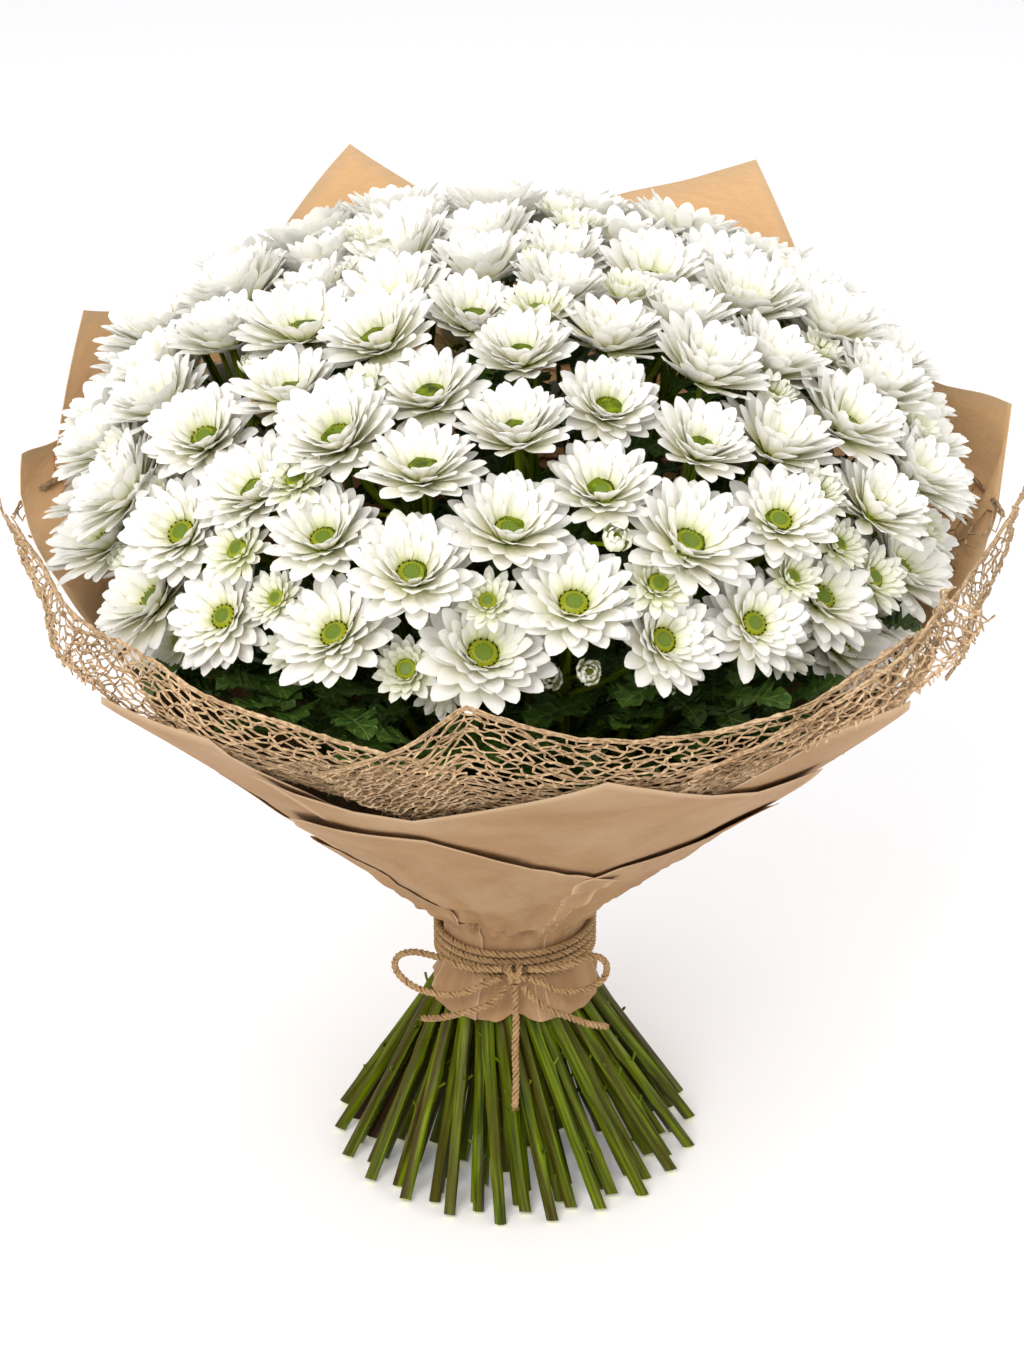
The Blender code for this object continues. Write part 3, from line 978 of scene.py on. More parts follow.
@dataclass
class Layout:
    """Where every stem, open head and small head of the bunch goes."""

    dome: Dome
    ring_count: int = 22
    head_spacing: float = 54 * MM
    rounds: int = 160
    rate: float = 0.25
    crown_twist: float = math.radians(-24)
    hollow_rise: float = 48 * MM
    bloom_spacing: float = 49 * MM
    small_heads: int = 76
    small_below: float = 4 * MM
    rim_heads: int = 15
    tries: int = 2600
    seed: int = 5

    def __post_init__(self) -> None:
        """Set out the sprays, spread their heads, and deal out the places in the tie."""
        self.sprays = [one for tier, plan in TIERS.items() for one in self._tier(tier, plan)]
        heads = [head for spray in self.sprays for head in spray.heads]
        settled = iter(self._spread(heads, self.head_spacing, lambda head: 0.0))
        for spray in self.sprays:
            spray.heads = [next(settled) for _ in spray.heads]
        slots = self._slots()
        self.sprays.sort(key=lambda spray: (spray.tier is not Tier.OUTER, spray.azimuth))
        for number, spray in enumerate(self.sprays, 1):
            spray.name = f"spray_{number:02d}"
            goal = spray.azimuth - self.crown_twist
            free = slots[spray.tier]
            spray.ring_azimuth = min(free, key=lambda slot: abs(turn_between(goal, slot)))
            free.remove(spray.ring_azimuth)
        self._place_blooms()
        self._add_small_heads()

    def _tier(self, tier: Tier, plan: TierPlan) -> list[Spray]:
        """Set out one tier.

        Args:
            tier: The tier.
            plan: What it holds.

        Returns:
            Its sprays with their first head points.
        """
        made = []
        for i in range(plan.sprays):
            middle = math.tau * i / plan.sprays
            heads = []
            for k, down in enumerate(plan.down):
                azimuth = math.tau * k / len(plan.down)
                if plan.across:
                    azimuth = middle + plan.across[k] * MM / self.dome.point(down * MM, 0).x
                heads.append(self.dome.point(down * MM, azimuth))
            made.append(Spray(tier, middle, heads))
        return made

    def _spread(self, heads: list[Vector], spacing: float, rise: Callable[[Vector], float]) -> list[Vector]:
        """Push heads apart over the dome.

        Args:
            heads: Their first points.
            spacing: The distance below which two heads push each other away.
            rise: How far above the foot of the dome the lowest head may sit at a point.

        Returns:
            The points after the last round.
        """
        for _ in range(self.rounds):
            moves = [Vector() for _ in heads]
            for i, a in enumerate(heads):
                for j in range(i + 1, len(heads)):
                    away = a - heads[j]
                    distance = away.length
                    if 0 < distance < spacing:
                        push = away * (self.rate * (spacing - distance) / distance)
                        moves[i] += push
                        moves[j] -= push
            heads = [self.dome.nearest(head + move, rise(head)) for head, move in zip(heads, moves)]
        return heads

    def _front(self, point: Vector) -> float:
        """How far a point lies to the front, from 0 at the sides to 1 under the hollow."""
        across = math.hypot(point.x, point.y)
        return smoothstep(0.5, 0.88, -point.y / across) if across > 0 else 0.0

    def _place_blooms(self) -> None:
        """Lift the front blooms off the collar and leave small heads in the hollow below them."""
        draw = random.Random(self.seed + 1)
        low = self.dome.floor_z + 20 * MM
        for spray in self.sprays:
            for head in spray.heads:
                if self._front(head) > 0.4 and head.z < low:
                    spot = Vector((head.x * 0.93, head.y * 0.93, head.z + draw.uniform(0, 22) * MM))
                    kind = Head.BUD if draw.random() < 0.3 else Head.HALF_OPEN
                    size = draw.uniform(0.75, 1.1)
                    spray.small.append(SideHead(kind, spot, self.dome.facing(head), size))
                else:
                    spray.blooms.append(head)
        every = [bloom for spray in self.sprays for bloom in spray.blooms]
        spread = self._spread(every, self.bloom_spacing, lambda head: self.hollow_rise * self._front(head))
        level = iter(spread)
        for spray in self.sprays:
            spray.blooms = [tucked(spot - self.dome.facing(spot) * draw.uniform(-1, 10) * MM) for spot in [
                next(level) for _ in spray.blooms]]

    def _slots(self) -> dict[Tier, list[float]]:
        """Share out the places round the tie.

        Returns:
            The azimuths that each tier may take.
        """
        count, share = self.ring_count, TIERS[Tier.MIDDLE].sprays
        slots = {Tier.OUTER: [math.tau * i / count for i in range(count)], Tier.MIDDLE: [], Tier.UPPER: []}
        for i in range(count):
            takes = (i + 1) * share // count > i * share // count
            slots[Tier.MIDDLE if takes else Tier.UPPER].append(math.tau * (i + 0.5) / count)
        slots[Tier.CROWN] = [slots[Tier.UPPER].pop(0)]
        return slots

    def _add_small_heads(self) -> None:
        """Put half-open heads and buds in the widest gaps, and round the foot of the dome."""
        draw, dome = random.Random(self.seed), self.dome
        taken = [bloom for spray in self.sprays for bloom in spray.blooms]
        tries = []
        for _ in range(self.tries):
            flat = Vector((draw.uniform(-1, 1), draw.uniform(-1, 1), draw.uniform(-0.38, 1)))
            if 0.1 < flat.length < 1:
                high = dome.mid_z + flat.z * dome.half_height
                spread = Vector((flat.x * dome.radius, flat.y * dome.radius, high))
                tries.append(dome.nearest(spread, self.hollow_rise * 0.7 * self._front(spread)))
        for number in range(self.small_heads):
            best = max(tries, key=lambda spot: min((spot - other).length for other in taken))
            taken.append(best)
            facing = dome.facing(best)
            kind = Head.BUD if number % 7 == 3 else Head.HALF_OPEN
            below = facing * (self.small_below + draw.uniform(0, 8) * MM)
            self._give(SideHead(kind, best - below, facing, draw.uniform(0.85, 1.2)))
        for number in range(self.rim_heads):
            azimuth = math.tau * (number + draw.uniform(-0.3, 0.3)) / self.rim_heads
            high = draw.uniform(308, 326) * MM
            spot = polar(dome.radius * draw.uniform(0.9, 0.98), azimuth, high)
            if spot.y >= -60 * MM:
                facing = polar(0.9, azimuth, draw.uniform(0.2, 0.7)).normalized()
                kind = Head.BUD if number % 2 else Head.HALF_OPEN
                self._give(SideHead(kind, spot, facing, draw.uniform(0.7, 1.0)))

    def _give(self, small: SideHead) -> None:
        """Hand a small head to the spray with the nearest open one."""
        owner = min(self.sprays, key=lambda s: min((head - small.point).length for head in s.heads))
        owner.small.append(replace(small, point=tucked(small.point)))


@dataclass
class Blade:
    """A petal, bract or leaf: a closed thin form along +X with its upper side towards +Z.

    Args:
        length: From base to tip.
        width: At its widest.
        outline: Its (share of length, share of half width) stations; the last is the tip.
        trough: How far its edges stand above its middle, as a share of the half width.
        thickness: In the middle.
        curl: How far it bends up from base to tip, in degrees.
        tip_bend: A further bend over its last quarter, in degrees.
        wave: How far its edges wave up and down in turn, as a share of the half width.
        part: The kind of part it is, for the finish.
    """

    length: float
    width: float
    outline: tuple[tuple[float, float], ...]
    trough: float = 0.22
    thickness: float = 0.5 * MM
    curl: float = 10.0
    tip_bend: float = 0.0
    wave: float = 0.0
    part: float = 0.0

    def _tilt(self, share: float) -> float:
        """The slope of the blade at a share of its length."""
        return math.radians(self.curl * share + self.tip_bend * smoothstep(0.72, 1, share))

    def template(self, name: str, into: bpy.types.Collection, steps: int = 4) -> None:
        """Make the form a template object in a collection.

        Args:
            name: The template's name.
            into: The collection.
            steps: How finely its bend is followed between two stations.
        """
        points, across, shares = [], [], []
        spine, place = Vector(), 0.0
        for number, (share, half) in enumerate(self.outline):
            for k in range(steps):
                tilt = self._tilt(place + (share - place) * (k + 0.5) / steps)
                reach = self.length * (share - place) / steps
                spine += Vector((math.cos(tilt), 0, math.sin(tilt))) * reach
            place = share
            if number == len(self.outline) - 1:
                break
            tilt = self._tilt(share)
            lift = Vector((-math.sin(tilt), 0, math.cos(tilt)))
            wide = half * self.width / 2
            rise, side = wide * self.trough, Vector((0, wide, 0))
            sway = wide * self.wave * (1 if number % 2 else -1)
            edges = spine - side + lift * (rise + sway), spine + side + lift * (rise - sway)
            points += [edges[0], spine.copy(), edges[1], spine - lift * self.thickness]
            shares += [share] * 4
            across += [-1.0, 0.0, 1.0, 0.0]
        faces: list[tuple[int, ...]] = [(0, 1, 2, 3)]
        tip = len(points)
        for a in range(0, tip - 4, 4):
            faces += [(a + k, a + 4 + k, a + 4 + (k + 1) % 4, a + (k + 1) % 4) for k in range(4)]
        faces += [(tip - 4 + k, tip, tip - 4 + (k + 1) % 4) for k in range(4)]
        draft = Draft(("along", "across", "part"))
        draft.add([*points, spine], faces, along=[*shares, 1.0], across=[*across, 0.0], part=self.part)
        into.objects.link(bpy.data.objects.new(name, draft.mesh(name)))


PETAL_OUTLINE = ((0.0, 0.34), (0.22, 0.64), (0.48, 0.95), (0.68, 1.0), (0.84, 0.80), (0.95, 0.42),
    (1.0, 0.0))
SHORT_OUTLINE = ((0.0, 0.42), (0.34, 0.80), (0.68, 0.98), (0.88, 0.66), (1.0, 0.0))
LEAF_OUTLINE = ((0.0, 0.05), (0.16, 0.08), (0.22, 0.40), (0.27, 0.58), (0.31, 0.46), (0.36, 0.66),
    (0.41, 0.34), (0.47, 0.78), (0.52, 0.98), (0.57, 0.80), (0.61, 0.94), (0.66, 0.42), (0.73, 0.66),
    (0.79, 0.70), (0.83, 0.50), (0.90, 0.52), (0.95, 0.28), (1.0, 0.0))


@dataclass(frozen=True)
class WhorlPlan:
    """One ring of petals: lengths in millimetres, angles in degrees."""

    count: int
    length: float
    width: float
    rise: float
    ring: float
    height: float
    curl: float
    tip_bend: float = 0.0


@dataclass(frozen=True)
class HeadPlan:
    """A kind of head: how many shapes, how far they differ, and its whorls from the outermost in."""

    shapes: int
    openness: float
    youth: float
    shrink: float
    whorls: tuple[WhorlPlan, ...]


HEADS: dict[Head, HeadPlan] = {Head.OPEN: HeadPlan(5, 5.0, 0.0, 1.0,
    (WhorlPlan(15, 27.5, 10.2, 10, 4.6, -4.8, 16, -14), WhorlPlan(15, 26.5, 9.8, 23, 5.0, -4.0, 12, -10),
    WhorlPlan(14, 25.0, 9.2, 37, 5.5, -3.0, 4, -8), WhorlPlan(13, 21.5, 8.4, 51, 5.9, -2.0, -4, -4),
    WhorlPlan(11, 14.5, 6.8, 63, 6.3, -1.0, -10), WhorlPlan(6, 7.5, 4.8, 64, 6.6, -0.2, -14))),
    Head.HALF_OPEN: HeadPlan(3, 9.0, 0.4, 0.7, (WhorlPlan(13, 15.0, 5.4, 14, 3.4, -3.4, 14, -10),
    WhorlPlan(13, 13.5, 5.0, 32, 3.7, -2.6, 10, -6), WhorlPlan(11, 11.0, 4.4, 50, 4.0, -1.6, 4),
    WhorlPlan(10, 7.0, 3.4, 64, 4.2, -0.8, -6))), Head.BUD: HeadPlan(2, 3.0, 0.85, 0.42,
    (WhorlPlan(10, 10.0, 4.8, 34, 3.0, -3.2, 74, 10), WhorlPlan(9, 8.5, 4.2, 52, 2.6, -2.2, 60, 10),
    WhorlPlan(6, 6.0, 3.4, 62, 2.0, -1.0, 50)))}


@dataclass
class BloomMaker:
    """The flower heads."""

    dome: Dome
    material: bpy.types.Material
    marks_tree: Marks
    disc_radius: float = 6.3 * MM
    disc_height: float = 2.0 * MM
    tilt: float = 0.20
    draw: random.Random = field(default_factory=lambda: random.Random(3))

    def __post_init__(self) -> None:
        """Make every template."""
        self.whorl = Whorl()
        self.shapes = {kind: bpy.data.collections.new(kind.value) for kind in HEADS}
        for kind, plan in HEADS.items():
            for number in range(plan.shapes):
                mesh = self._head(kind, plan, number)
                self.shapes[kind].objects.link(bpy.data.objects.new(mesh.name, mesh))

    def _head(self, kind: Head, plan: HeadPlan, number: int) -> bpy.types.Mesh:
        """One template: its whorls of petals round its disc.

        Args:
            kind: Which kind of head.
            plan: What it is made of.
            number: The variant, which opens a little more as it rises.

        Returns:
            The mesh, with the middle of the disc at the origin and facing +Z.
        """
        name = f"{kind.value}_{number}"
        close = plan.openness * (1.6 - number)
        draft = Draft(("along", "across", "part", "tone"))
        for ring, whorl in enumerate(plan.whorls):
            petals = bpy.data.collections.new(f"{name}_petals_{ring}")
            for shape in range(2):
                Blade(whorl.length * MM * (1 - 0.06 * shape), whorl.width * MM * (1 - 0.08 * shape),
                    PETAL_OUTLINE if whorl.length > 16 else SHORT_OUTLINE, trough=0.18 - 0.06 * shape,
                    curl=whorl.curl + 7 * shape, tip_bend=whorl.tip_bend * (1 + 0.5 * shape),
                    part=plan.youth).template(f"{name}_petal_{ring}_{shape}", petals)
            draft.absorb(self.whorl.run(f"{name}_whorl_{ring}", bpy.data.meshes.new("start"), Shapes=petals,
                Shape_Count=2, Count=whorl.count, Ring_Radius=whorl.ring * MM, Height=whorl.height * MM,
                Rise=math.radians(whorl.rise + close), Rise_Jitter=math.radians(7), Turn=2.4 * ring + 0.7
                * number, Turn_Jitter=1.1 / whorl.count, Roll_Jitter=math.radians(9), Size_Jitter=0.07,
                Seed=31 * ring + 7 * number, Material=self.material))
        self._disc(draft, self.disc_radius * plan.shrink)
        if kind is Head.OPEN:
            self._florets(draft)
        return draft.mesh(name)

    def _disc(self, draft: Draft, radius: float, sides: int = 14) -> None:
        """Add the green disc.

        Args:
            draft: Where it is added.
            radius: Its radius.
            sides: How many sides it has.
        """
        high = self.disc_height
        rings = ((1.0, -1.6 * MM), (0.98, 0.0), (0.72, 0.62 * high), (0.4, 0.72 * high))
        points = [polar(radius * share, math.tau * i / sides, z) for share, z in rings for i in range(sides)]
        along = [share for share, _ in rings for _ in range(sides)]
        faces = tube_faces(len(rings), sides)[:-1]
        top = len(points) - sides
        faces += [(top + i, top + (i + 1) % sides, len(points)) for i in range(sides)]
        draft.add([*points, (0, 0, 0.6 * high)], faces, along=[*along, 0.0], part=1.0, tone=0.5)

    def _florets(self, draft: Draft) -> None:
        """Add rings of florets to an open disc, each a little four-sided peak.

        Args:
            draft: Where they are added.
        """
        faces = [(3, 2, 1, 0)] + [(k, (k + 1) % 4, 4) for k in range(4)]
        for count, share, part in ((15, 1.0, 2.0), (20, 0.82, 1.0), (13, 0.56, 1.0)):
            reach = (0.66 if part > 1 else 0.42) * MM
            level = self.disc_height * (0.62 * smoothstep(1.04, 0.7, share) + 0.1)
            for i in range(count):
                foot = polar(self.disc_radius * share, math.tau * (i + 0.3 * share) / count, level - 0.3 * MM)
                corners = [foot + polar(reach, math.tau * k / 4, 0) for k in range(4)]
                draft.add([*corners, foot + UP * (2.6 * reach)], faces, along=share, part=part, tone=0.5)

    def make(self, spray: Spray) -> bpy.types.Object:
        """All the heads of one spray as one piece.

        Args:
            spray: The spray.

        Returns:
            The piece.
        """
        draw, dome = self.draw, self.dome
        wanted: dict[Head, list[Mark]] = {kind: [] for kind in Head}
        for head in spray.blooms:
            face = dome.turned(head)
            tilt = Vector((draw.uniform(-1, 1), draw.uniform(-1, 1), draw.uniform(-1, 1))) * self.tilt
            high = smoothstep(dome.mid_z - 30 * MM, dome.mid_z + dome.half_height, head.z)
            shape = min(4, max(0, round(draw.gauss(3.0 - 2.6 * high, 0.9))))
            turn = facing_turn(face + tilt, draw.uniform(0, math.tau))
            spot = head - face * (4 + 4 * high) * MM
            wanted[Head.OPEN].append(Mark(spot, turn, draw.uniform(0.90, 1.15), shape))
        for small in spray.small:
            turn = facing_turn(small.facing, draw.uniform(0, math.tau))
            pick = draw.randrange(HEADS[small.kind].shapes)
            wanted[small.kind].append(Mark(small.point, turn, small.size, pick))
        draft = Draft(("along", "across", "part", "tone"))
        for kind, marks in wanted.items():
            if marks:
                name = f"{spray.name}_{kind.value}"
                draft.absorb(self.marks_tree.place(name, marks, self.shapes[kind], self.material))
        return draft.piece(f"{spray.name}_flowers", self.material)


@dataclass
class StemMaker:
    """Stems, side branches and calyxes, each spray's grown as one piece."""

    dome: Dome
    material: bpy.types.Material
    stem_r: float = 3.2 * MM
    top_r: float = 2.1 * MM
    branch_r: float = 1.5 * MM
    twig_r: float = 1.15 * MM
    twig_length: float = 62 * MM
    outer_ring_r: float = 32.6 * MM
    inner_ring_r: float = 28.0 * MM
    outer_foot_r: float = 97.0 * MM
    inner_foot_r: float = 88.0 * MM
    tie_low: float = 112 * MM
    tie_high: float = 141 * MM
    bend: float = 8 * MM
    foot_twist: float = math.radians(20)
    lower_ring: float = 0.8
    opening_share: float = 0.45
    opening_curve: float = 1.15
    head_height: float = 15 * MM
    calyx_depth: float = 9.5 * MM
    calyx: tuple[tuple[float, float], ...] = ((1.5, 0.0), (2.2, 1.6), (5.4, 3.4), (7.6, 6.0), (8.3, 8.4),
        (6.9, 9.4))
    branch_droop: float = 0.12
    stem_step: float = 9 * MM
    stem_sides: int = 7
    draw: random.Random = field(default_factory=lambda: random.Random(11))

    def route(self, ring_r: float, foot_r: float, azimuth: float, node: Vector) -> list[Vector]:
        """The middle line of a stem from its cut end up to its node.

        Args:
            ring_r: The radius of its place in the tie.
            foot_r: The radius of its cut end.
            azimuth: Its place round the tie.
            node: Where its branches part.

        Returns:
            The bends of the stem.
        """
        slope = (foot_r - ring_r) / (math.hypot(self.tie_low, self.bend) - self.bend)
        path = []
        for z in (0.0, self.lower_ring * self.tie_low, self.tie_low):
            below = self.tie_low - z
            radius = ring_r + slope * (math.hypot(below, self.bend) - self.bend)
            path.append(polar(radius, azimuth + self.foot_twist * below / self.tie_low, z))
        reach = math.hypot(node.x, node.y)
        swing = turn_between(azimuth, math.atan2(node.y, node.x)) if reach > 1e-6 else 0.0
        radius = ring_r + (reach - ring_r) * self.opening_share**self.opening_curve
        height = self.tie_high + (node.z - self.tie_high) * self.opening_share
        opening = polar(radius, azimuth + swing * self.opening_share, height)
        return [*path, polar(ring_r, azimuth, self.tie_high), opening, node]

    def node_of(self, spray: Spray) -> Vector:
        """Find where a spray's branches part.

        Args:
            spray: The spray.

        Returns:
            The point, below the middle of its heads.
        """
        middle = sum(spray.heads, Vector()) / len(spray.heads)
        facing = sum((self.dome.facing(head) for head in spray.heads), Vector()).normalized()
        return middle - facing * TIERS[spray.tier].node_depth * MM

    def make(self, spray: Spray) -> tuple[bpy.types.Object, list[Vector]]:
        """One spray's green parts.

        Args:
            spray: The spray.

        Returns:
            The piece and the smooth line of its main stem.
        """
        outer = spray.tier is Tier.OUTER
        node = self.node_of(spray)
        ring_r = self.outer_ring_r if outer else self.inner_ring_r
        foot_r = self.outer_foot_r if outer else self.inner_foot_r
        bends = self.route(ring_r, foot_r, spray.ring_azimuth, node)
        draft = Draft(("age", "cut", "grain"))
        arrive = (bends[-1] - bends[-2]).normalized()
        heads = sorted(spray.blooms, key=lambda head: -(head - node).normalized().dot(arrive))
        main = smooth_path(bends, self.stem_step)
        if not heads:
            self.add_stem(draft, main)
        for rank, head in enumerate(heads):
            face = self.dome.turned(head)
            neck = head - face * self.head_height
            droop = (node + neck) / 2 - face * self.branch_droop * (neck - node).length
            if rank == 0:
                main = smooth_path([*bends, droop.lerp(neck, 0.3), neck], self.stem_step)
                self.add_stem(draft, main)
            else:
                fork = node - arrive * rank * 2 * MM
                self._branch(draft, [fork, droop, neck], self.branch_r)
            self._calyx(draft, neck, face, 1.0)
        for small in spray.small:
            scale = 0.58 if small.kind is Head.HALF_OPEN else 0.5
            neck = small.point - small.facing * self.calyx_depth * scale
            upper = main[len(main) // 2:]
            start = min(upper, key=lambda p: abs((p - neck).length - self.twig_length))
            droop = (start + neck) / 2 - small.facing * 5 * MM
            self._branch(draft, [start, droop, neck], self.twig_r)
            self._calyx(draft, neck, small.facing, scale * small.size)
        return draft.piece(f"{spray.name}_stem", self.material), main

    def add_stem(self, draft: Draft, line: Sequence[Vector]) -> None:
        """Add a ribbed main stem with leaf scars, cut slanting at its foot.

        Args:
            draft: Where it is added.
            line: Its middle line.
        """
        draw, sides, radius, total = self.draw, self.stem_sides, self.stem_r, path_length(line)
        frames, runs = frames_along(line), distances(line)
        ribs = draw.choice((4, 5))
        phase = draw.uniform(0, math.tau)
        scars = [(draw.uniform(0.03, 0.27), draw.uniform(0, math.tau)) for _ in range(6)]
        outward = Vector((line[0].x, line[0].y, 0)).normalized()
        cut_way = outward.lerp(Vector((0, -1, 0)), 0.45).normalized()
        slant = math.tan(math.radians(draw.uniform(18, 42)))
        rings: list[list[Vector]] = []
        for point, walked, (_, side, other) in zip(line, runs, frames):
            share = walked / total
            base = radius + (self.top_r - radius) * smoothstep(0.3, 0.95, share)
            ring = []
            for k in range(sides):
                angle = math.tau * k / sides
                bulge = 1 + 0.07 * math.cos(ribs * angle + phase) * (0.4 + 0.6 * share)
                for place, way in scars:
                    near = math.exp(-(((share - place) * total / (5 * MM)) ** 2))
                    bulge += 0.3 * near * max(0.0, math.cos(angle - way)) ** 2
                ring.append(point + around(side, other, angle) * base * bulge)
            rings.append(ring)
        direction = frames[0][0]
        for corner in rings[0]:
            reach = (corner - line[0]).dot(cut_way) + radius
            corner += direction * ((slant * reach - corner.z) / direction.z)
        middle = sum(rings[0], Vector()) / sides
        cut_ring = [middle.lerp(corner, 0.84) for corner in rings[0]]
        self._skin(draft, [cut_ring, *rings], [runs[0], *runs], radius, cut_first=True)
        for place, way in scars[:3]:
            index = min(len(line) - 2, max(1, round(place * (len(line) - 1))))
            self._stub(draft, line[index], frames[index], way)

    def _stub(self, draft: Draft, point: Vector, axes: tuple[Vector, Vector, Vector], way: float) -> None:
        """Add the stub that a stripped leaf left on a stem.

        Args:
            draft: Where it is added.
            point: The middle of the stem there.
            axes: The stem's direction and its two square axes there.
            way: The side of the stem it grows from.
        """
        ahead, side, other = axes
        out = around(side, other, way)
        root = point + out * self.stem_r * 0.7
        tip = root + (out * 0.75 + ahead * 0.65) * self.draw.uniform(3.0, 6.5) * MM
        self._branch(draft, [root, (root + tip) / 2 + out * 0.3 * MM, tip], 0.75 * MM, step=3 * MM)

    def _branch(self, draft: Draft, bends: Sequence[Vector], radius: float, step: float = 7 * MM,
            sides: int = 6) -> None:
        """Add a thinner stalk along a smooth curve.

        Args:
            draft: Where it is added.
            bends: The points it passes through.
            radius: Its radius.
            step: The distance between its rings.
            sides: How many sides it has.
        """
        line = smooth_path(bends, step)
        rings = [[point + around(side, other, math.tau * k / sides) * radius for k in range(sides)]
            for point, (_, side, other) in zip(line, frames_along(line))]
        self._skin(draft, rings, distances(line), radius)

    @staticmethod
    def _skin(draft: Draft, rings: Sequence[Sequence[Vector]], runs: Sequence[float], radius: float,
            cut_first: bool = False) -> None:
        """Close a tube over rings of points.

        Args:
            draft: Where it is added.
            rings: The rings, all with the same number of points.
            runs: How far along the stem each ring is.
            radius: The stem's radius, for the grain.
            cut_first: Whether the first ring lies inside the cut face.
        """
        sides, foot = len(rings[0]), rings[0][0]
        grows = runs[-1] > 0.1
        high = runs[-1] if grows else 1.0
        own = 0.35 + 0.65 * abs(math.sin(900 * foot[0] + 700 * foot[1]))
        shift = 9.0 * foot[0] + 5.0 * foot[1]
        turn = [math.tau * k / sides for k in range(sides)]
        ages = [own * (1.0 - smoothstep(0.2, 0.8, run / high)) if high < 1 else 0.0 for run in runs]
        draft.add([point for ring in rings for point in ring], tube_faces(len(rings), sides),
            age=[age for age in ages for _ in turn], cut=[float(cut_first and row == 0)
            for row in range(len(rings)) for _ in turn], grain=[
            (radius * math.cos(a), radius * math.sin(a), run + shift) for run in runs for a in turn])

    def _calyx(self, draft: Draft, neck: Vector, face: Vector, scale: float, sides: int = 10) -> None:
        """Add the green cup of bracts that a head grows from.

        Args:
            draft: Where it is added.
            neck: The foot of the cup.
            face: The way it opens.
            scale: Its size, as a share of an open bloom's.
            sides: Twice its number of ridges.
        """
        turn = UP.rotation_difference(face).to_matrix()
        rings = []
        for radius, level in self.calyx:
            ridge = 0.09 * smoothstep(1.6, 6.0, level)
            ring = []
            for k in range(sides):
                wide = radius * (1 + ridge * (1 if k % 2 else -1)) * scale * MM
                ring.append(neck + turn @ polar(wide, math.tau * k / sides, level * scale * MM))
            rings.append(ring)
        self._skin(draft, rings, [level * MM for _, level in self.calyx], 3 * MM)


@dataclass
class InnerStems:
    """The stems in the middle of the tie, which carry the foliage under the heads."""

    maker: StemMaker
    rings: tuple[tuple[int, float, float], ...] = ((22, 24.4, 80.0), (18, 18.0, 66.0), (12, 12.0, 48.0),
        (6, 6.0, 26.0), (1, 0.5, 6.0))
    top_z: float = 330 * MM
    spread: float = 3.4
    swing: float = 0.35

    def make(self) -> tuple[list[bpy.types.Object], list[list[Vector]]]:
        """Make every ring of inner stems one piece.

        Returns:
            The pieces, and the smooth lines of all their stems.
        """
        pieces, lines = [], []
        for number, (count, ring_r, foot_r) in enumerate(self.rings, 1):
            draft = Draft(("age", "cut", "grain"))
            for i in range(count):
                azimuth = math.tau * (i + 0.37 * number) / count
                reach, high = ring_r * MM * self.spread * 1.6, self.top_z + ring_r * -0.9 * MM
                node = polar(reach, azimuth + self.swing, high)
                bends = self.maker.route(ring_r * MM, foot_r * MM, azimuth, node)
                lines.append(smooth_path(bends, self.maker.stem_step * 1.5))
                self.maker.add_stem(draft, lines[-1])
            pieces.append(draft.piece(f"inner_stems_{number}", self.maker.material))
        return pieces, lines


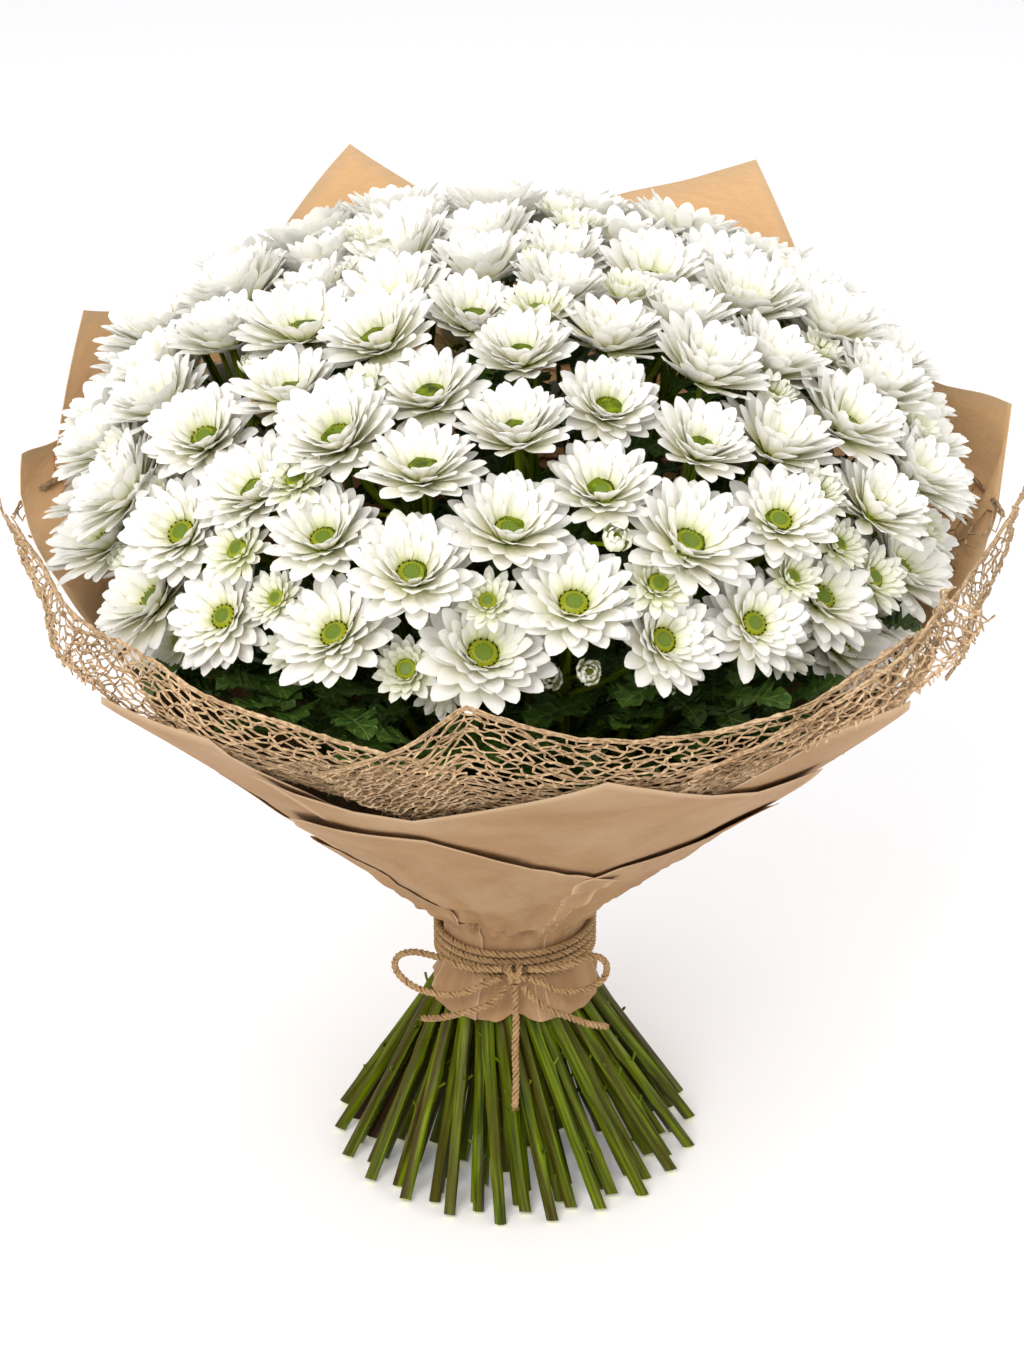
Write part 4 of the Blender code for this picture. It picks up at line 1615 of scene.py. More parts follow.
@dataclass
class Foliage:
    """The lobed leaves that fill the hollow under the heads."""

    marks_tree: Marks
    material: bpy.types.Material
    dome: Dome
    leaves: tuple[tuple[float, float, float, float], ...] = ((40, 32, -34, 0.22), (34, 27, -52, 0.30),
        (44, 34, -14, 0.18))
    lowest: float = 215 * MM
    sectors: int = 12
    inside: float = 0.80
    hollow_leaves: int = 195
    canopy_leaves: int = 130
    front_share: float = 0.62
    seed: int = 23

    def __post_init__(self) -> None:
        """Make the leaf templates."""
        self.shapes = bpy.data.collections.new("leaf")
        for number, (length, width, curl, trough) in enumerate(self.leaves):
            Blade(length * MM, width * MM, LEAF_OUTLINE, trough=trough, thickness=0.45 * MM, curl=curl,
                tip_bend=-24, wave=0.10).template(f"leaf_{number}", self.shapes)

    def _clear(self, point: Vector) -> bool:
        """Whether there is room for a leaf under the heads and inside the paper.

        Args:
            point: A point of the leaf.

        Returns:
            Whether the point is clear of both.
        """
        across = math.hypot(point.x, point.y)
        level = self.dome.level(point.z)
        under = math.hypot(across / self.dome.radius, max(0.0, level)) < self.inside
        if level < 0 and across > self.dome.radius * self.inside:
            under = point.z < self.dome.floor_z + 20 * MM
        return under and across < 40 * MM + (point.z - 145 * MM) * 0.98

    def _mark(self, draw: random.Random, point: Vector, azimuth: float, upright: float) -> Mark:
        """A leaf at a point, growing outwards.

        Args:
            draw: The source of random numbers.
            point: Where its stalk meets the stem.
            azimuth: The way it grows.
            upright: How steeply it rises.

        Returns:
            The mark.
        """
        ahead = polar(1.0, azimuth, upright).normalized()
        normal = (UP + polar(draw.uniform(-0.2, 1.1), azimuth, 0)).normalized()
        side = normal.cross(ahead).normalized()
        turn = Matrix((ahead, side, ahead.cross(side))).transposed().to_euler()
        return Mark(point, turn, draw.uniform(0.6, 1.1), draw.randrange(len(self.leaves)))

    def _marks(self, lines: Sequence[Sequence[Vector]]) -> Iterable[Mark]:
        """Set out leaves along the stems, in the front hollow and under the heads.

        Args:
            lines: The smooth middle lines of the stems.

        Yields:
            A mark for each leaf.
        """
        draw, dome = random.Random(self.seed), self.dome
        for line in lines:
            spots = [point for point in line if self.lowest < point.z]
            for _ in range(min(4, len(spots))):
                point = draw.choice(spots)
                azimuth = math.atan2(point.y, point.x) + draw.uniform(-0.9, 0.9)
                yield self._mark(draw, point, azimuth, draw.uniform(0.1, 1.2))
        for number in range(self.hollow_leaves):
            spread = 1.15 if number < self.hollow_leaves * self.front_share else math.pi
            azimuth = -math.pi / 2 + draw.uniform(-spread, spread)
            point = polar(draw.uniform(120, 196) * MM, azimuth, draw.uniform(290, 352) * MM)
            grows = azimuth + draw.uniform(-1.3, 1.3)
            yield self._mark(draw, point, grows, draw.uniform(0.0, 1.4))
        for _ in range(self.canopy_leaves):
            azimuth, across = draw.uniform(0, math.tau), 0.7 * math.sqrt(draw.random())
            level = math.sqrt(0.52 - across * across) * draw.uniform(0.9, 1.02)
            middle = polar(across * dome.radius, azimuth, dome.mid_z + level * dome.half_height)
            yield self._mark(draw, middle, azimuth + draw.uniform(-2, 2), draw.uniform(-0.2, 0.5))

    def make(self, lines: Sequence[Sequence[Vector]]) -> list[bpy.types.Object]:
        """Make the leaves that have room, one piece for each sector.

        Args:
            lines: The smooth middle lines of the stems.

        Returns:
            The pieces.
        """
        groups: list[list[Mark]] = [[] for _ in range(self.sectors)]
        for mark in self._marks(lines):
            ahead = mark.facing.to_matrix() @ Vector((1, 0, 0))
            if all(self._clear(mark.point + ahead * reach * MM * mark.size) for reach in (0, 20, 40)):
                azimuth = math.atan2(mark.point.y, mark.point.x) % math.tau
                groups[int(azimuth / math.tau * self.sectors) % self.sectors].append(mark)
        pieces = []
        for number, group in enumerate(groups, 1):
            name = f"foliage_{number:02d}"
            mesh = self.marks_tree.place(name, group, self.shapes, self.material)
            pieces.append(add_object(name, mesh))
        return pieces


# --------------------------------------------------------------------------- paper and net


@dataclass(frozen=True)
class SheetPlan:
    """A paper sheet: its layer counted outwards and its top edge in degrees and millimetres."""

    layer: int
    edge: dict[int, int]
    lift: float = 3.0
    seed: int = 0
    reach: float = 18.0


SHEETS: dict[str, SheetPlan] = {"kraft_left_upper": SheetPlan(0, {110: 370, 130: 392, 150: 424, 159: 352},
    1, 1), "kraft_back_right": SheetPlan(0, {50: 398, 60: 476, 80: 440, 100: 405}, 1, 2),
    "kraft_left": SheetPlan(1, {140: 352, 152: 358, 166: 369, 170: 344, 179: 322, 190: 304, 203: 292,
    212: 262}, 1, 3), "kraft_back_left": SheetPlan(1, {70: 380, 100: 443, 110: 477, 120: 430, 130: 390}, 1,
    4), "kraft_right": SheetPlan(1, {-34: 262, -25: 290, -12: 303, 0: 318, 9: 332, 13: 344, 15: 396,
    30: 382, 60: 365}, 1, 5), "kraft_front_centre": SheetPlan(1,
    {240: 322, 243: 308, 249: 297, 257: 296, 266: 315, 279: 344, 284: 334, 293: 313, 302: 299, 307: 301,
    311: 303, 314: 286, 318: 262, 322: 240, 326: 220}, 2, 6),
    "kraft_front_left": SheetPlan(2, {227: 246, 231: 262, 236: 268, 247: 271, 257: 275, 264: 262, 274: 244,
    286: 226, 294: 215}, 2.5, 7), "kraft_front_right": SheetPlan(2,
    {285: 223, 294: 230, 301: 240, 306: 247, 311: 256, 315: 262, 318: 258, 326: 238, 334: 220, 343: 195,
    352: 165}, 2, 8)}

FLAPS: dict[str, tuple[str, SheetPlan]] = {"kraft_front_left_flap": ("kraft_front_left",
    SheetPlan(0, {188: 240, 203: 280, 213: 304, 219: 317, 221: 338, 223: 347, 238: 347, 244: 307, 250: 260},
    2, 9, 30)), "kraft_front_left_fold": ("kraft_front_left",
    SheetPlan(3, {200: 150, 206: 170, 212: 194, 217: 214, 221: 226, 226: 226, 232: 208, 238: 186, 245: 164},
    0.5, 10)), "kraft_front_right_flap": ("kraft_front_right",
    SheetPlan(0, {290: 256, 296: 302, 303: 346, 315: 347, 317: 337, 319: 314, 327: 298, 337: 277, 352: 240},
    -1, 11, 30))}


@dataclass
class KraftWrap:
    """The cone of paper sheets, pleated where the twine gathers them."""

    material: bpy.types.Material
    low: tuple[tuple[float, float], ...] = ((95, 44.4), (112, 35.9), (137, 35.9), (144, 39.5))
    rim: tuple[float, float] = (345, 260.6)
    wall_slope: float = 0.0131
    blend: float = 5.0
    neck_blend: float = 1.3
    paper: float = 0.55
    pitch: float = 1.1
    spread: float = 0.8
    azimuth_step: float = 1.5
    slant: float = 1.35
    upper_rows: int = 30
    pleats: int = 46
    pleat_depth: float = 4.2
    skirt_depth: float = 0.9
    buckle: float = 4.5
    crumple: float = 1.5
    pucker: float = 9.0
    ridge: float = 9.0
    seed: int = 17

    def __post_init__(self) -> None:
        """Draw the creases that radiate from the waist."""
        draw = random.Random(self.seed)
        step = 360 / self.pleats
        self.creases = []
        for i in range(self.pleats):
            sign = 1 if i % 2 else -1
            self.creases.append((step * (i + draw.uniform(-0.34, 0.34)), sign * draw.uniform(0.35, 1.0),
                draw.choice((18, 28, 45, 70, 110)) * draw.uniform(0.8, 1.25)))

    def _crease(self, degrees: float, away: float) -> float:
        """How far the creases fold the paper in or out.

        Args:
            degrees: The azimuth.
            away: The distance above the waist in millimetres.

        Returns:
            The height of the fold, from -1 to 1.
        """
        last = self.creases[-1]
        before = (last[0] - 360, last[1], last[2])
        for after in [*self.creases, (self.creases[0][0] + 360, *self.creases[0][1:])]:
            if degrees <= after[0]:
                share = (degrees - before[0]) / (after[0] - before[0])
                low = before[1] * math.exp(-away / before[2])
                high = after[1] * math.exp(-away / after[2])
                return low + (high - low) * share
            before = after
        return 0.0

    def radius(self, z: float) -> float:
        """The inside radius of the innermost sheet.

        Args:
            z: The height in millimetres.

        Returns:
            The radius in millimetres.
        """
        neck = interpolate(self.low, z)
        slope = (self.rim[1] - self.low[-1][1]) / (self.rim[0] - self.low[-1][0])
        cone = self.low[-1][1] + slope * (z - self.low[-1][0])
        wall = self.rim[1] + self.wall_slope * (z - self.rim[0])
        top = max(neck, cone)
        body = top + self.neck_blend * math.log1p(math.exp(-abs(neck - cone) / self.neck_blend))
        low = min(body, wall)
        return low - self.blend * math.log1p(math.exp(-abs(body - wall) / self.blend))

    def shared_shift(self, degrees: float, z: float) -> float:
        """How far every layer moves out together at a place.

        Args:
            degrees: The azimuth.
            z: The height in millimetres.

        Returns:
            The distance in millimetres.
        """
        degrees %= 360
        angle = math.radians(degrees)
        above = max(0.0, z - 140) * 1.35
        grip = 1 - smoothstep(100, 112, z) * (1 - smoothstep(137, 160, z))
        if z < 120:
            fold = self.skirt_depth * self._crease(degrees, 0) * smoothstep(112, 95, z)
        else:
            fold = self.pleat_depth * self._crease(degrees, above) * grip
        spot = Vector((math.cos(angle) * 1.9, math.sin(angle) * 1.9, z * 0.006))
        rim = 1 - 0.6 * smoothstep(320, 350, z)
        wave = self.buckle * noise.noise(spot) * smoothstep(170, 300, z) * rim
        near = Vector((math.cos(angle) * 7, math.sin(angle) * 7, z * 0.045))
        wave += self.crumple * 2.8 * noise.noise(near) * smoothstep(142, 165, z) * smoothstep(300, 175, z)
        gather = Vector((math.cos(angle) * 4.2, math.sin(angle) * 4.2, z * 0.12))
        pinch = 0.25 - abs(noise.noise(gather)) + 0.5 * noise.noise(gather * 2.2)
        wave += self.pucker * pinch * smoothstep(138, 144, z) * smoothstep(182, 148, z)
        wave += 0.28 * self.pucker * pinch * smoothstep(112, 106, z) * smoothstep(92, 98, z)
        sharp = Vector((math.cos(angle) * 4.2, math.sin(angle) * 4.2, z * 0.05 + 9))
        ridge = 0.28 - abs(noise.noise(sharp))
        wave += self.ridge * ridge * smoothstep(140, 152, z) * smoothstep(280, 165, z)
        return fold + wave - side_tuck(degrees, z)

    def point(self, degrees: float, z: float, offset: float) -> Vector:
        """The point of a layer at an azimuth and a height, its offset in millimetres."""
        radius = self.radius(z) + offset + self.shared_shift(degrees, z)
        return polar(radius * MM, math.radians(degrees), z * MM)

    def heights(self, top: float, degrees: float) -> list[float]:
        """Divide a column into rows, close together at the waist.

        Args:
            top: The height of its top in millimetres.
            degrees: The azimuth.

        Returns:
            The heights of its rows, from the bottom up.
        """
        beside = abs(math.degrees(turn_between(math.radians(271), math.radians(degrees))))
        lobe = 5.5 * math.exp(-((beside / 8) ** 2)) + 7.0 * smoothstep(44, 88, beside)
        low = [93.2 + lobe * share for share in (1.0, 0.7, 0.45, 0.2)]
        low = [level + 2.6 * i for i, level in enumerate(low)]
        low += [106, 110, 115, 121, 128, 135, 139.5, 143, 146.5, 150]
        rows = self.upper_rows
        return low + [low[-1] + (top - low[-1]) * ((i + 1) / rows) ** 1.12 for i in range(rows)]

    def make(self, name: str, plan: SheetPlan) -> bpy.types.Object:
        """One sheet as a thin closed form.

        Args:
            name: Its CAD node's name.
            plan: Its layer and its top edge.

        Returns:
            The piece.
        """
        marks = [(float(a), float(z)) for a, z in sorted(plan.edge.items())]
        columns = [marks[0][0]]
        for (start, _), (end, _) in zip(marks, marks[1:]):
            parts = max(1, round((end - start) / self.azimuth_step))
            columns += [start + (end - start) * (i + 1) / parts for i in range(parts)]
        first, last = columns[0], columns[-1]
        inside: list[Vector] = []
        outside: list[Vector] = []
        grain: list[tuple[float, float, float]] = []
        edge_highlight: list[float] = []
        free: list[float] = []
        for degrees in columns:
            ripple = noise.noise(Vector((degrees * 0.11, plan.seed * 3.7, 0)))
            top = interpolate(marks, degrees) + 2.2 * ripple
            levels = self.heights(top, degrees)
            offsets = [self._offset(plan, degrees, z, (top - z) * self.slant, ripple) for z in levels]
            column = [self.point(degrees, z, offset) for z, offset in zip(levels, offsets)]
            inside += column
            outside += [self.point(degrees, z, offset + self.paper) for z, offset in zip(levels, offsets)]
            for z, walked in zip(levels, distances(column)):
                grain.append((walked, plan.seed * 0.4, math.radians(degrees) * 0.16))
                beside = min(degrees - first, last - degrees) * z * 0.011
                # Painted highlight: strongest within about a millimetre of the top and side edges.
                edge_highlight.append(math.exp(-min((top - z) * self.slant, beside) / 1.3))
                # Painted backlight: the share of the lit colour, rising high up on the sheets away from the
                # front.
                free.append(smoothstep(285, 335, z) * smoothstep(35, 80, from_front(degrees)))
        draft = Draft(("edge", "free", "grain"))
        faces = self._faces(len(columns), len(inside) // len(columns))
        draft.add([*inside, *outside], faces, edge=edge_highlight * 2, free=free * 2, grain=grain * 2)
        return draft.piece(f"{name}_paper", self.material)

    def _offset(self, plan: SheetPlan, degrees: float, z: float, away: float, ripple: float) -> float:
        """How far a sheet lies outside the innermost one.

        Args:
            plan: The sheet.
            degrees: The azimuth.
            z: The height in millimetres.
            away: The distance below its top edge in millimetres.
            ripple: How its top edge ripples there, from -1 to 1.

        Returns:
            The distance in millimetres.
        """
        opened = smoothstep(160, 300, z)
        curl = plan.lift * math.exp(-away / plan.reach) * (1.0 + 0.9 * ripple)
        curl = curl * smoothstep(300, 340, z) if plan.layer == 0 else max(0.0, curl)
        offset = plan.layer * (self.pitch + self.spread * opened) + curl
        own = noise.noise(Vector((degrees * 0.05, z * 0.012, plan.seed * 9.1)))
        return offset + 0.8 * own * opened * (1 if plan.layer == 2 else 0.4)

    @staticmethod
    def _faces(columns: int, rows: int) -> list[tuple[int, ...]]:
        """The faces of a thin closed sheet.

        Args:
            columns: How many columns of points each of its sides has.
            rows: How many points a column has.

        Returns:
            The faces, as indices into the points of its inner and then its outer side.
        """
        half = columns * rows
        faces: list[tuple[int, ...]] = []
        for i in range(columns - 1):
            for a in range(i * rows, (i + 1) * rows - 1):
                b = a + rows
                faces.append((a, a + 1, b + 1, b))
                faces.append((half + a, half + b, half + b + 1, half + a + 1))
            a, b = i * rows, (i + 1) * rows
            faces.append((a, b, half + b, half + a))
            a, b = a + rows - 1, b + rows - 1
            faces.append((a, half + a, half + b, b))
        faces += [(a, half + a, half + a + 1, a + 1) for a in range(rows - 1)]
        faces += [(a + 1, half + a + 1, half + a, a) for a in range(half - rows, half - 1)]
        return faces


class Strands(GeometryTree):
    """Fibre strands along the edges of a lattice."""

    def __init__(self) -> None:
        """Build the tree."""
        super().__init__("strands", Thickness="Float", Thickness_Jitter="Float", Sides="Int", Seed="Int",
            Material="Material")
        curve = self.node("GeometryNodeMeshToCurve", {0: self.given["Geometry"]})
        low = self.math("SUBTRACT", 1.0, self.given["Thickness Jitter"])
        high = self.math("ADD", 1.0, self.given["Thickness Jitter"])
        jitter = self.random(low, high, self.given["Seed"])
        width = self.math("MULTIPLY", self.given["Thickness"], jitter)
        ring = {"Resolution": self.given["Sides"], "Radius": 1.0}
        profile = self.node("GeometryNodeCurvePrimitiveCircle", ring)
        skin = {"Curve": curve.outputs[0], "Profile Curve": profile.outputs[0], "Scale": width}
        self.end(self.node("GeometryNodeCurveToMesh", {**skin, "Fill Caps": True}).outputs[0])


@dataclass(frozen=True)
class NetPart:
    """A stretch of net: its top and bottom edges by azimuth, and its mesh, in millimetres."""

    top: dict[float, float]
    bottom: dict[float, float]
    across: float = 4.7
    up: float = 5.1
    thickness: float = 0.56
    further: float = 0.0
    pull: dict[float, float] = field(default_factory=lambda: {0: 0})
    cord: int = 4
    frayed: tuple[bool, bool] = (False, False)
    layers: int = 2
    seed: int = 3

    def spots(self, count: int) -> list[float]:
        """The azimuths that divide it into so many parts."""
        first, last = min(self.top), max(self.top)
        return [first + (last - first) * i / count for i in range(count + 1)]

    @property
    def span(self) -> float:
        """How many degrees it runs."""
        return max(self.top) - min(self.top)

    def edges(self, degrees: float) -> tuple[float, float]:
        """The heights of its bottom and top edges at an azimuth."""
        low, high = (interpolate(sorted(edge.items()), degrees) for edge in (self.bottom, self.top))
        return low, high


NET_PARTS: dict[str, tuple[NetPart, ...]] = {"net_collar_front": (
    NetPart({178: 358, 184: 366, 190: 370, 198: 371, 206: 371, 214: 371, 222: 372},
    {178: 347, 184: 342, 190: 338, 198: 339, 206: 344, 214: 348, 222: 350}, further=-7.0,
    frayed=(True, False), pull={178: -4, 184: 1, 190: 6, 198: 10, 206: 11, 224: 8}, layers=1, seed=3),
    NetPart({214: 364, 219: 370, 225: 377, 232: 376, 238: 370, 246: 362, 254: 355, 264: 347},
    {214: 347, 219: 346, 224: 343, 231: 338, 236: 328, 243: 306, 250: 284, 264: 276}, further=-8.0,
    frayed=(True, False), pull={214: 8, 228: 2, 240: -6}, seed=8),
    NetPart({249: 332, 254: 346, 260: 361, 265: 381, 270: 373, 276: 365, 281: 362, 290: 361, 300: 364,
    309: 370, 317: 371, 325: 364, 333: 350}, {249: 306, 254: 288, 265: 280, 300: 282, 317: 292, 333: 300},
    pull={300: 0, 318: 14, 330: 20}, seed=4), NetPart({326: 365, 334: 367, 342: 369, 350: 371, 356: 372,
    363: 374}, {326: 338, 334: 337, 342: 339, 350: 343, 356: 350, 363: 358}, further=-2.0,
    frayed=(False, True), pull={326: 19, 338: 14, 350: 8, 358: 2, 363: -4}, layers=1, seed=14),
    NetPart({288: 341, 296: 353, 301: 360, 307: 365, 313: 369, 319: 373, 328: 377},
    {288: 318, 296: 334, 301: 344, 309: 351, 316: 355, 322: 360, 328: 367}, further=3.0, cord=3,
    frayed=(False, True), pull={300: 0, 315: 8, 328: 22}, seed=6)),
    "net_collar_back": (NetPart({8: 346, 90: 348, 172: 346}, {8: 318, 90: 304, 172: 318}, across=8.0,
    up=9.0, layers=1, seed=7),)}


@dataclass
class Lattice:
    """The points and strands of a stretch of net, before they are given thickness."""

    surface: Callable[[float, float, float], Vector]
    points: list[Vector] = field(default_factory=list)
    edges: list[tuple[int, int]] = field(default_factory=list)

    def put(self, degrees: float, z: float, deep: float) -> int:
        """Add a point at a place on the net's face, and give its number."""
        self.points.append(self.surface(degrees, z, deep))
        return len(self.points) - 1

    def tie(self, *numbers: int) -> None:
        """Add strands from point to point."""
        self.edges.extend(zip(numbers, numbers[1:]))


@dataclass
class NetCollar:
    """The open net of plant fibre that lines the paper and stands up above its front edge."""

    wrap: KraftWrap
    material: bpy.types.Material
    strands: Strands
    inset: float = 1.4
    outset: float = 6.0
    crossings: tuple[tuple[float, float], ...] = ((160, 0), (168, 1), (237, 1), (247, 0))
    middle_r: float = 250.0
    slant: float = 1.4
    push: float = 0.22
    sway: tuple[float, float, float] = (0.16, 0.6, 0.5)
    missing: tuple[float, float] = (0.05, 0.04)
    cord_step: float = 0.9
    cord_r: float = 0.7
    least_cover: float = 0.31

    def surface(self, part: NetPart, degrees: float, z: float, deep: float) -> Vector:
        """A point of a stretch of the net.

        Args:
            part: The stretch.
            degrees: The azimuth.
            z: The height in millimetres.
            deep: How far inwards of its face the point lies.

        Returns:
            The point.
        """
        out = interpolate(self.crossings, degrees)
        offset = self.outset * out - self.inset * (1 - out) + part.further
        low, high = part.edges(degrees)
        lean = interpolate(sorted(part.pull.items()), degrees) * smoothstep(low, high, z)
        return self.wrap.point(degrees, z, offset - lean - deep)

    def _knots(self, part: NetPart, layer: int, lattice: Lattice, draw: random.Random) -> list[
            list[tuple[tuple[float, float, float], int]]]:
        """Add the knots of one layer of a stretch.

        Args:
            part: The stretch.
            layer: Which layer, counted inwards; each is coarser than the last.
            lattice: Where they are added.
            draw: The source of random numbers.

        Returns:
            The place and the number of every knot, column by column.
        """
        coarse = 1 + 0.4 * layer
        step = part.up * coarse / self.slant
        count = round(math.radians(part.span) * self.middle_r / (part.across * coarse))
        knots = []
        for i, degrees in enumerate(part.spots(count)):
            column: list[tuple[tuple[float, float, float], int]] = []
            low, high = part.edges(degrees)
            while high - step * (len(column) - 1) > low:
                j = len(column)
                push = self.push if (i + j) % 2 == 0 else -self.push
                shift = math.degrees(draw.uniform(-0.44, 0.44) * part.across * coarse / self.middle_r)
                bottom, top = part.edges(degrees + shift)
                z = top - step * (j + push + draw.uniform(-0.34, 0.34))
                deep = draw.uniform(-1.2, 1.2) + 1.8 * layer
                place = (degrees + shift, min(top, max(bottom, z)), deep)
                column.append((place, lattice.put(*place)))
            knots.append(column)
        return knots

    def _weave(self, part: NetPart, layer: int, lattice: Lattice) -> None:
        """Add one layer of a stretch: long cells, with loose strands at its ends.

        Args:
            part: The stretch.
            layer: Which layer, counted inwards.
            lattice: Where it is added.
        """
        draw = random.Random(part.seed * 10 + layer)
        knots = self._knots(part, layer, lattice, draw)

        def strand(one: tuple[tuple[float, float, float], int],
                two: tuple[tuple[float, float, float], int]) -> None:
            """Tie two knots with a strand that sags a little."""
            between = [(a + b) / 2 + draw.uniform(-way, way) for a, b, way in zip(one[0], two[0], self.sway)]
            lattice.tie(one[1], lattice.put(*between), two[1])

        for i, column in enumerate(knots):
            for j, knot in enumerate(column):
                beside = knots[i + 1][j] if i + 1 < len(knots) and j < len(knots[i + 1]) else None
                if beside and draw.random() > self.missing[0]:
                    strand(knot, beside)
                if j + 1 < len(column) and (i + j) % 2 == 0 and draw.random() > self.missing[1]:
                    strand(knot, column[j + 1])
        for end, way, loose in ((0, -1, part.frayed[0]), (-1, 1, part.frayed[1])):
            for (degrees, z, deep), last in knots[end] if loose else ():
                for _ in range(draw.choice((1, 2, 3))):
                    degrees += way * draw.uniform(0.5, 1.5)
                    z += draw.uniform(-0.4, 2.8)
                    deep -= draw.uniform(0.2, 2.0)
                    number = lattice.put(degrees, z, deep)
                    lattice.tie(last, number)
                    last = number

    def _cords(self, part: NetPart, lattice: Lattice) -> None:
        """Add the strands that run together along the top edge.

        Args:
            part: The stretch.
            lattice: Where they are added.
        """
        draw = random.Random(part.seed + 90)
        spots = part.spots(round(part.span / self.cord_step))
        for number in range(part.cord):
            cord = []
            for i, degrees in enumerate(spots):
                turn = 0.55 * i + number * math.tau / part.cord
                high = part.edges(degrees)[1] + self.cord_r * math.sin(turn) + draw.uniform(-0.4, 0.6)
                cord.append(lattice.put(degrees, high, self.cord_r * math.cos(turn)))
            lattice.tie(*cord)

    @staticmethod
    def _fringe(part: NetPart, lattice: Lattice) -> None:
        """Add short loose hairs along the bottom edge where it lies over the paper.

        Args:
            part: The stretch.
            lattice: Where they are added.
        """
        draw = random.Random(part.seed + 50)
        degrees = min(part.top)
        while degrees < max(part.top):
            degrees += draw.uniform(0.5, 1.4)
            low = part.edges(degrees)[0]
            root = lattice.put(degrees, low + 2, draw.uniform(-1, 1))
            sway = draw.uniform(-1.0, 1.0)
            lattice.tie(root, lattice.put(degrees + sway, low - draw.uniform(1, 4), draw.uniform(-2, 1)))

    def make(self, name: str, parts: Sequence[NetPart]) -> bpy.types.Object:
        """The stretches of one piece of the net.

        Args:
            name: The piece's name.
            parts: Its stretches.

        Returns:
            The piece.
        """
        draft = Draft()
        for number, part in enumerate(parts):
            lattice = Lattice(partial(self.surface, part))
            for layer in range(part.layers):
                self._weave(part, layer, lattice)
            self._cords(part, lattice)
            self._fringe(part, lattice)
            start = bpy.data.meshes.new(f"{name}_lattice_{number}")
            start.from_pydata([tuple(point) for point in lattice.points], lattice.edges, [])
            draft.absorb(self.strands.run(f"{name}_strands_{number}", start, Thickness=part.thickness * MM,
                Thickness_Jitter=0.4, Sides=3, Seed=part.seed, Material=self.material))
        return draft.piece(name, self.material)

    def declare(self, piece: bpy.types.Object, parts: Sequence[NetPart]) -> None:
        """Args:
            piece: The net.
            parts: Its stretches.
        """
        length, cut = 0.0, 0.0
        for part in parts:
            spots = part.spots(max(4, round(part.span)))
            for one, two in zip(spots, spots[1:]):
                low, high = part.edges(one)
                foot = self.surface(part, one, low, 0)
                run = (self.surface(part, two, part.edges(two)[0], 0) - foot).length * part.layers
                length += run
                cut += run * (self.surface(part, one, high, 0) - foot).length
        strands = sum(face.area for face in piece.data.polygons) / 2
        LOG.info("%s: %.3f m long, cut %.4f m2, strands %.4f m2", piece.name, length, cut, strands)
        area = min(cut, max(self.least_cover * cut, strands))


# --------------------------------------------------------------------------- twine


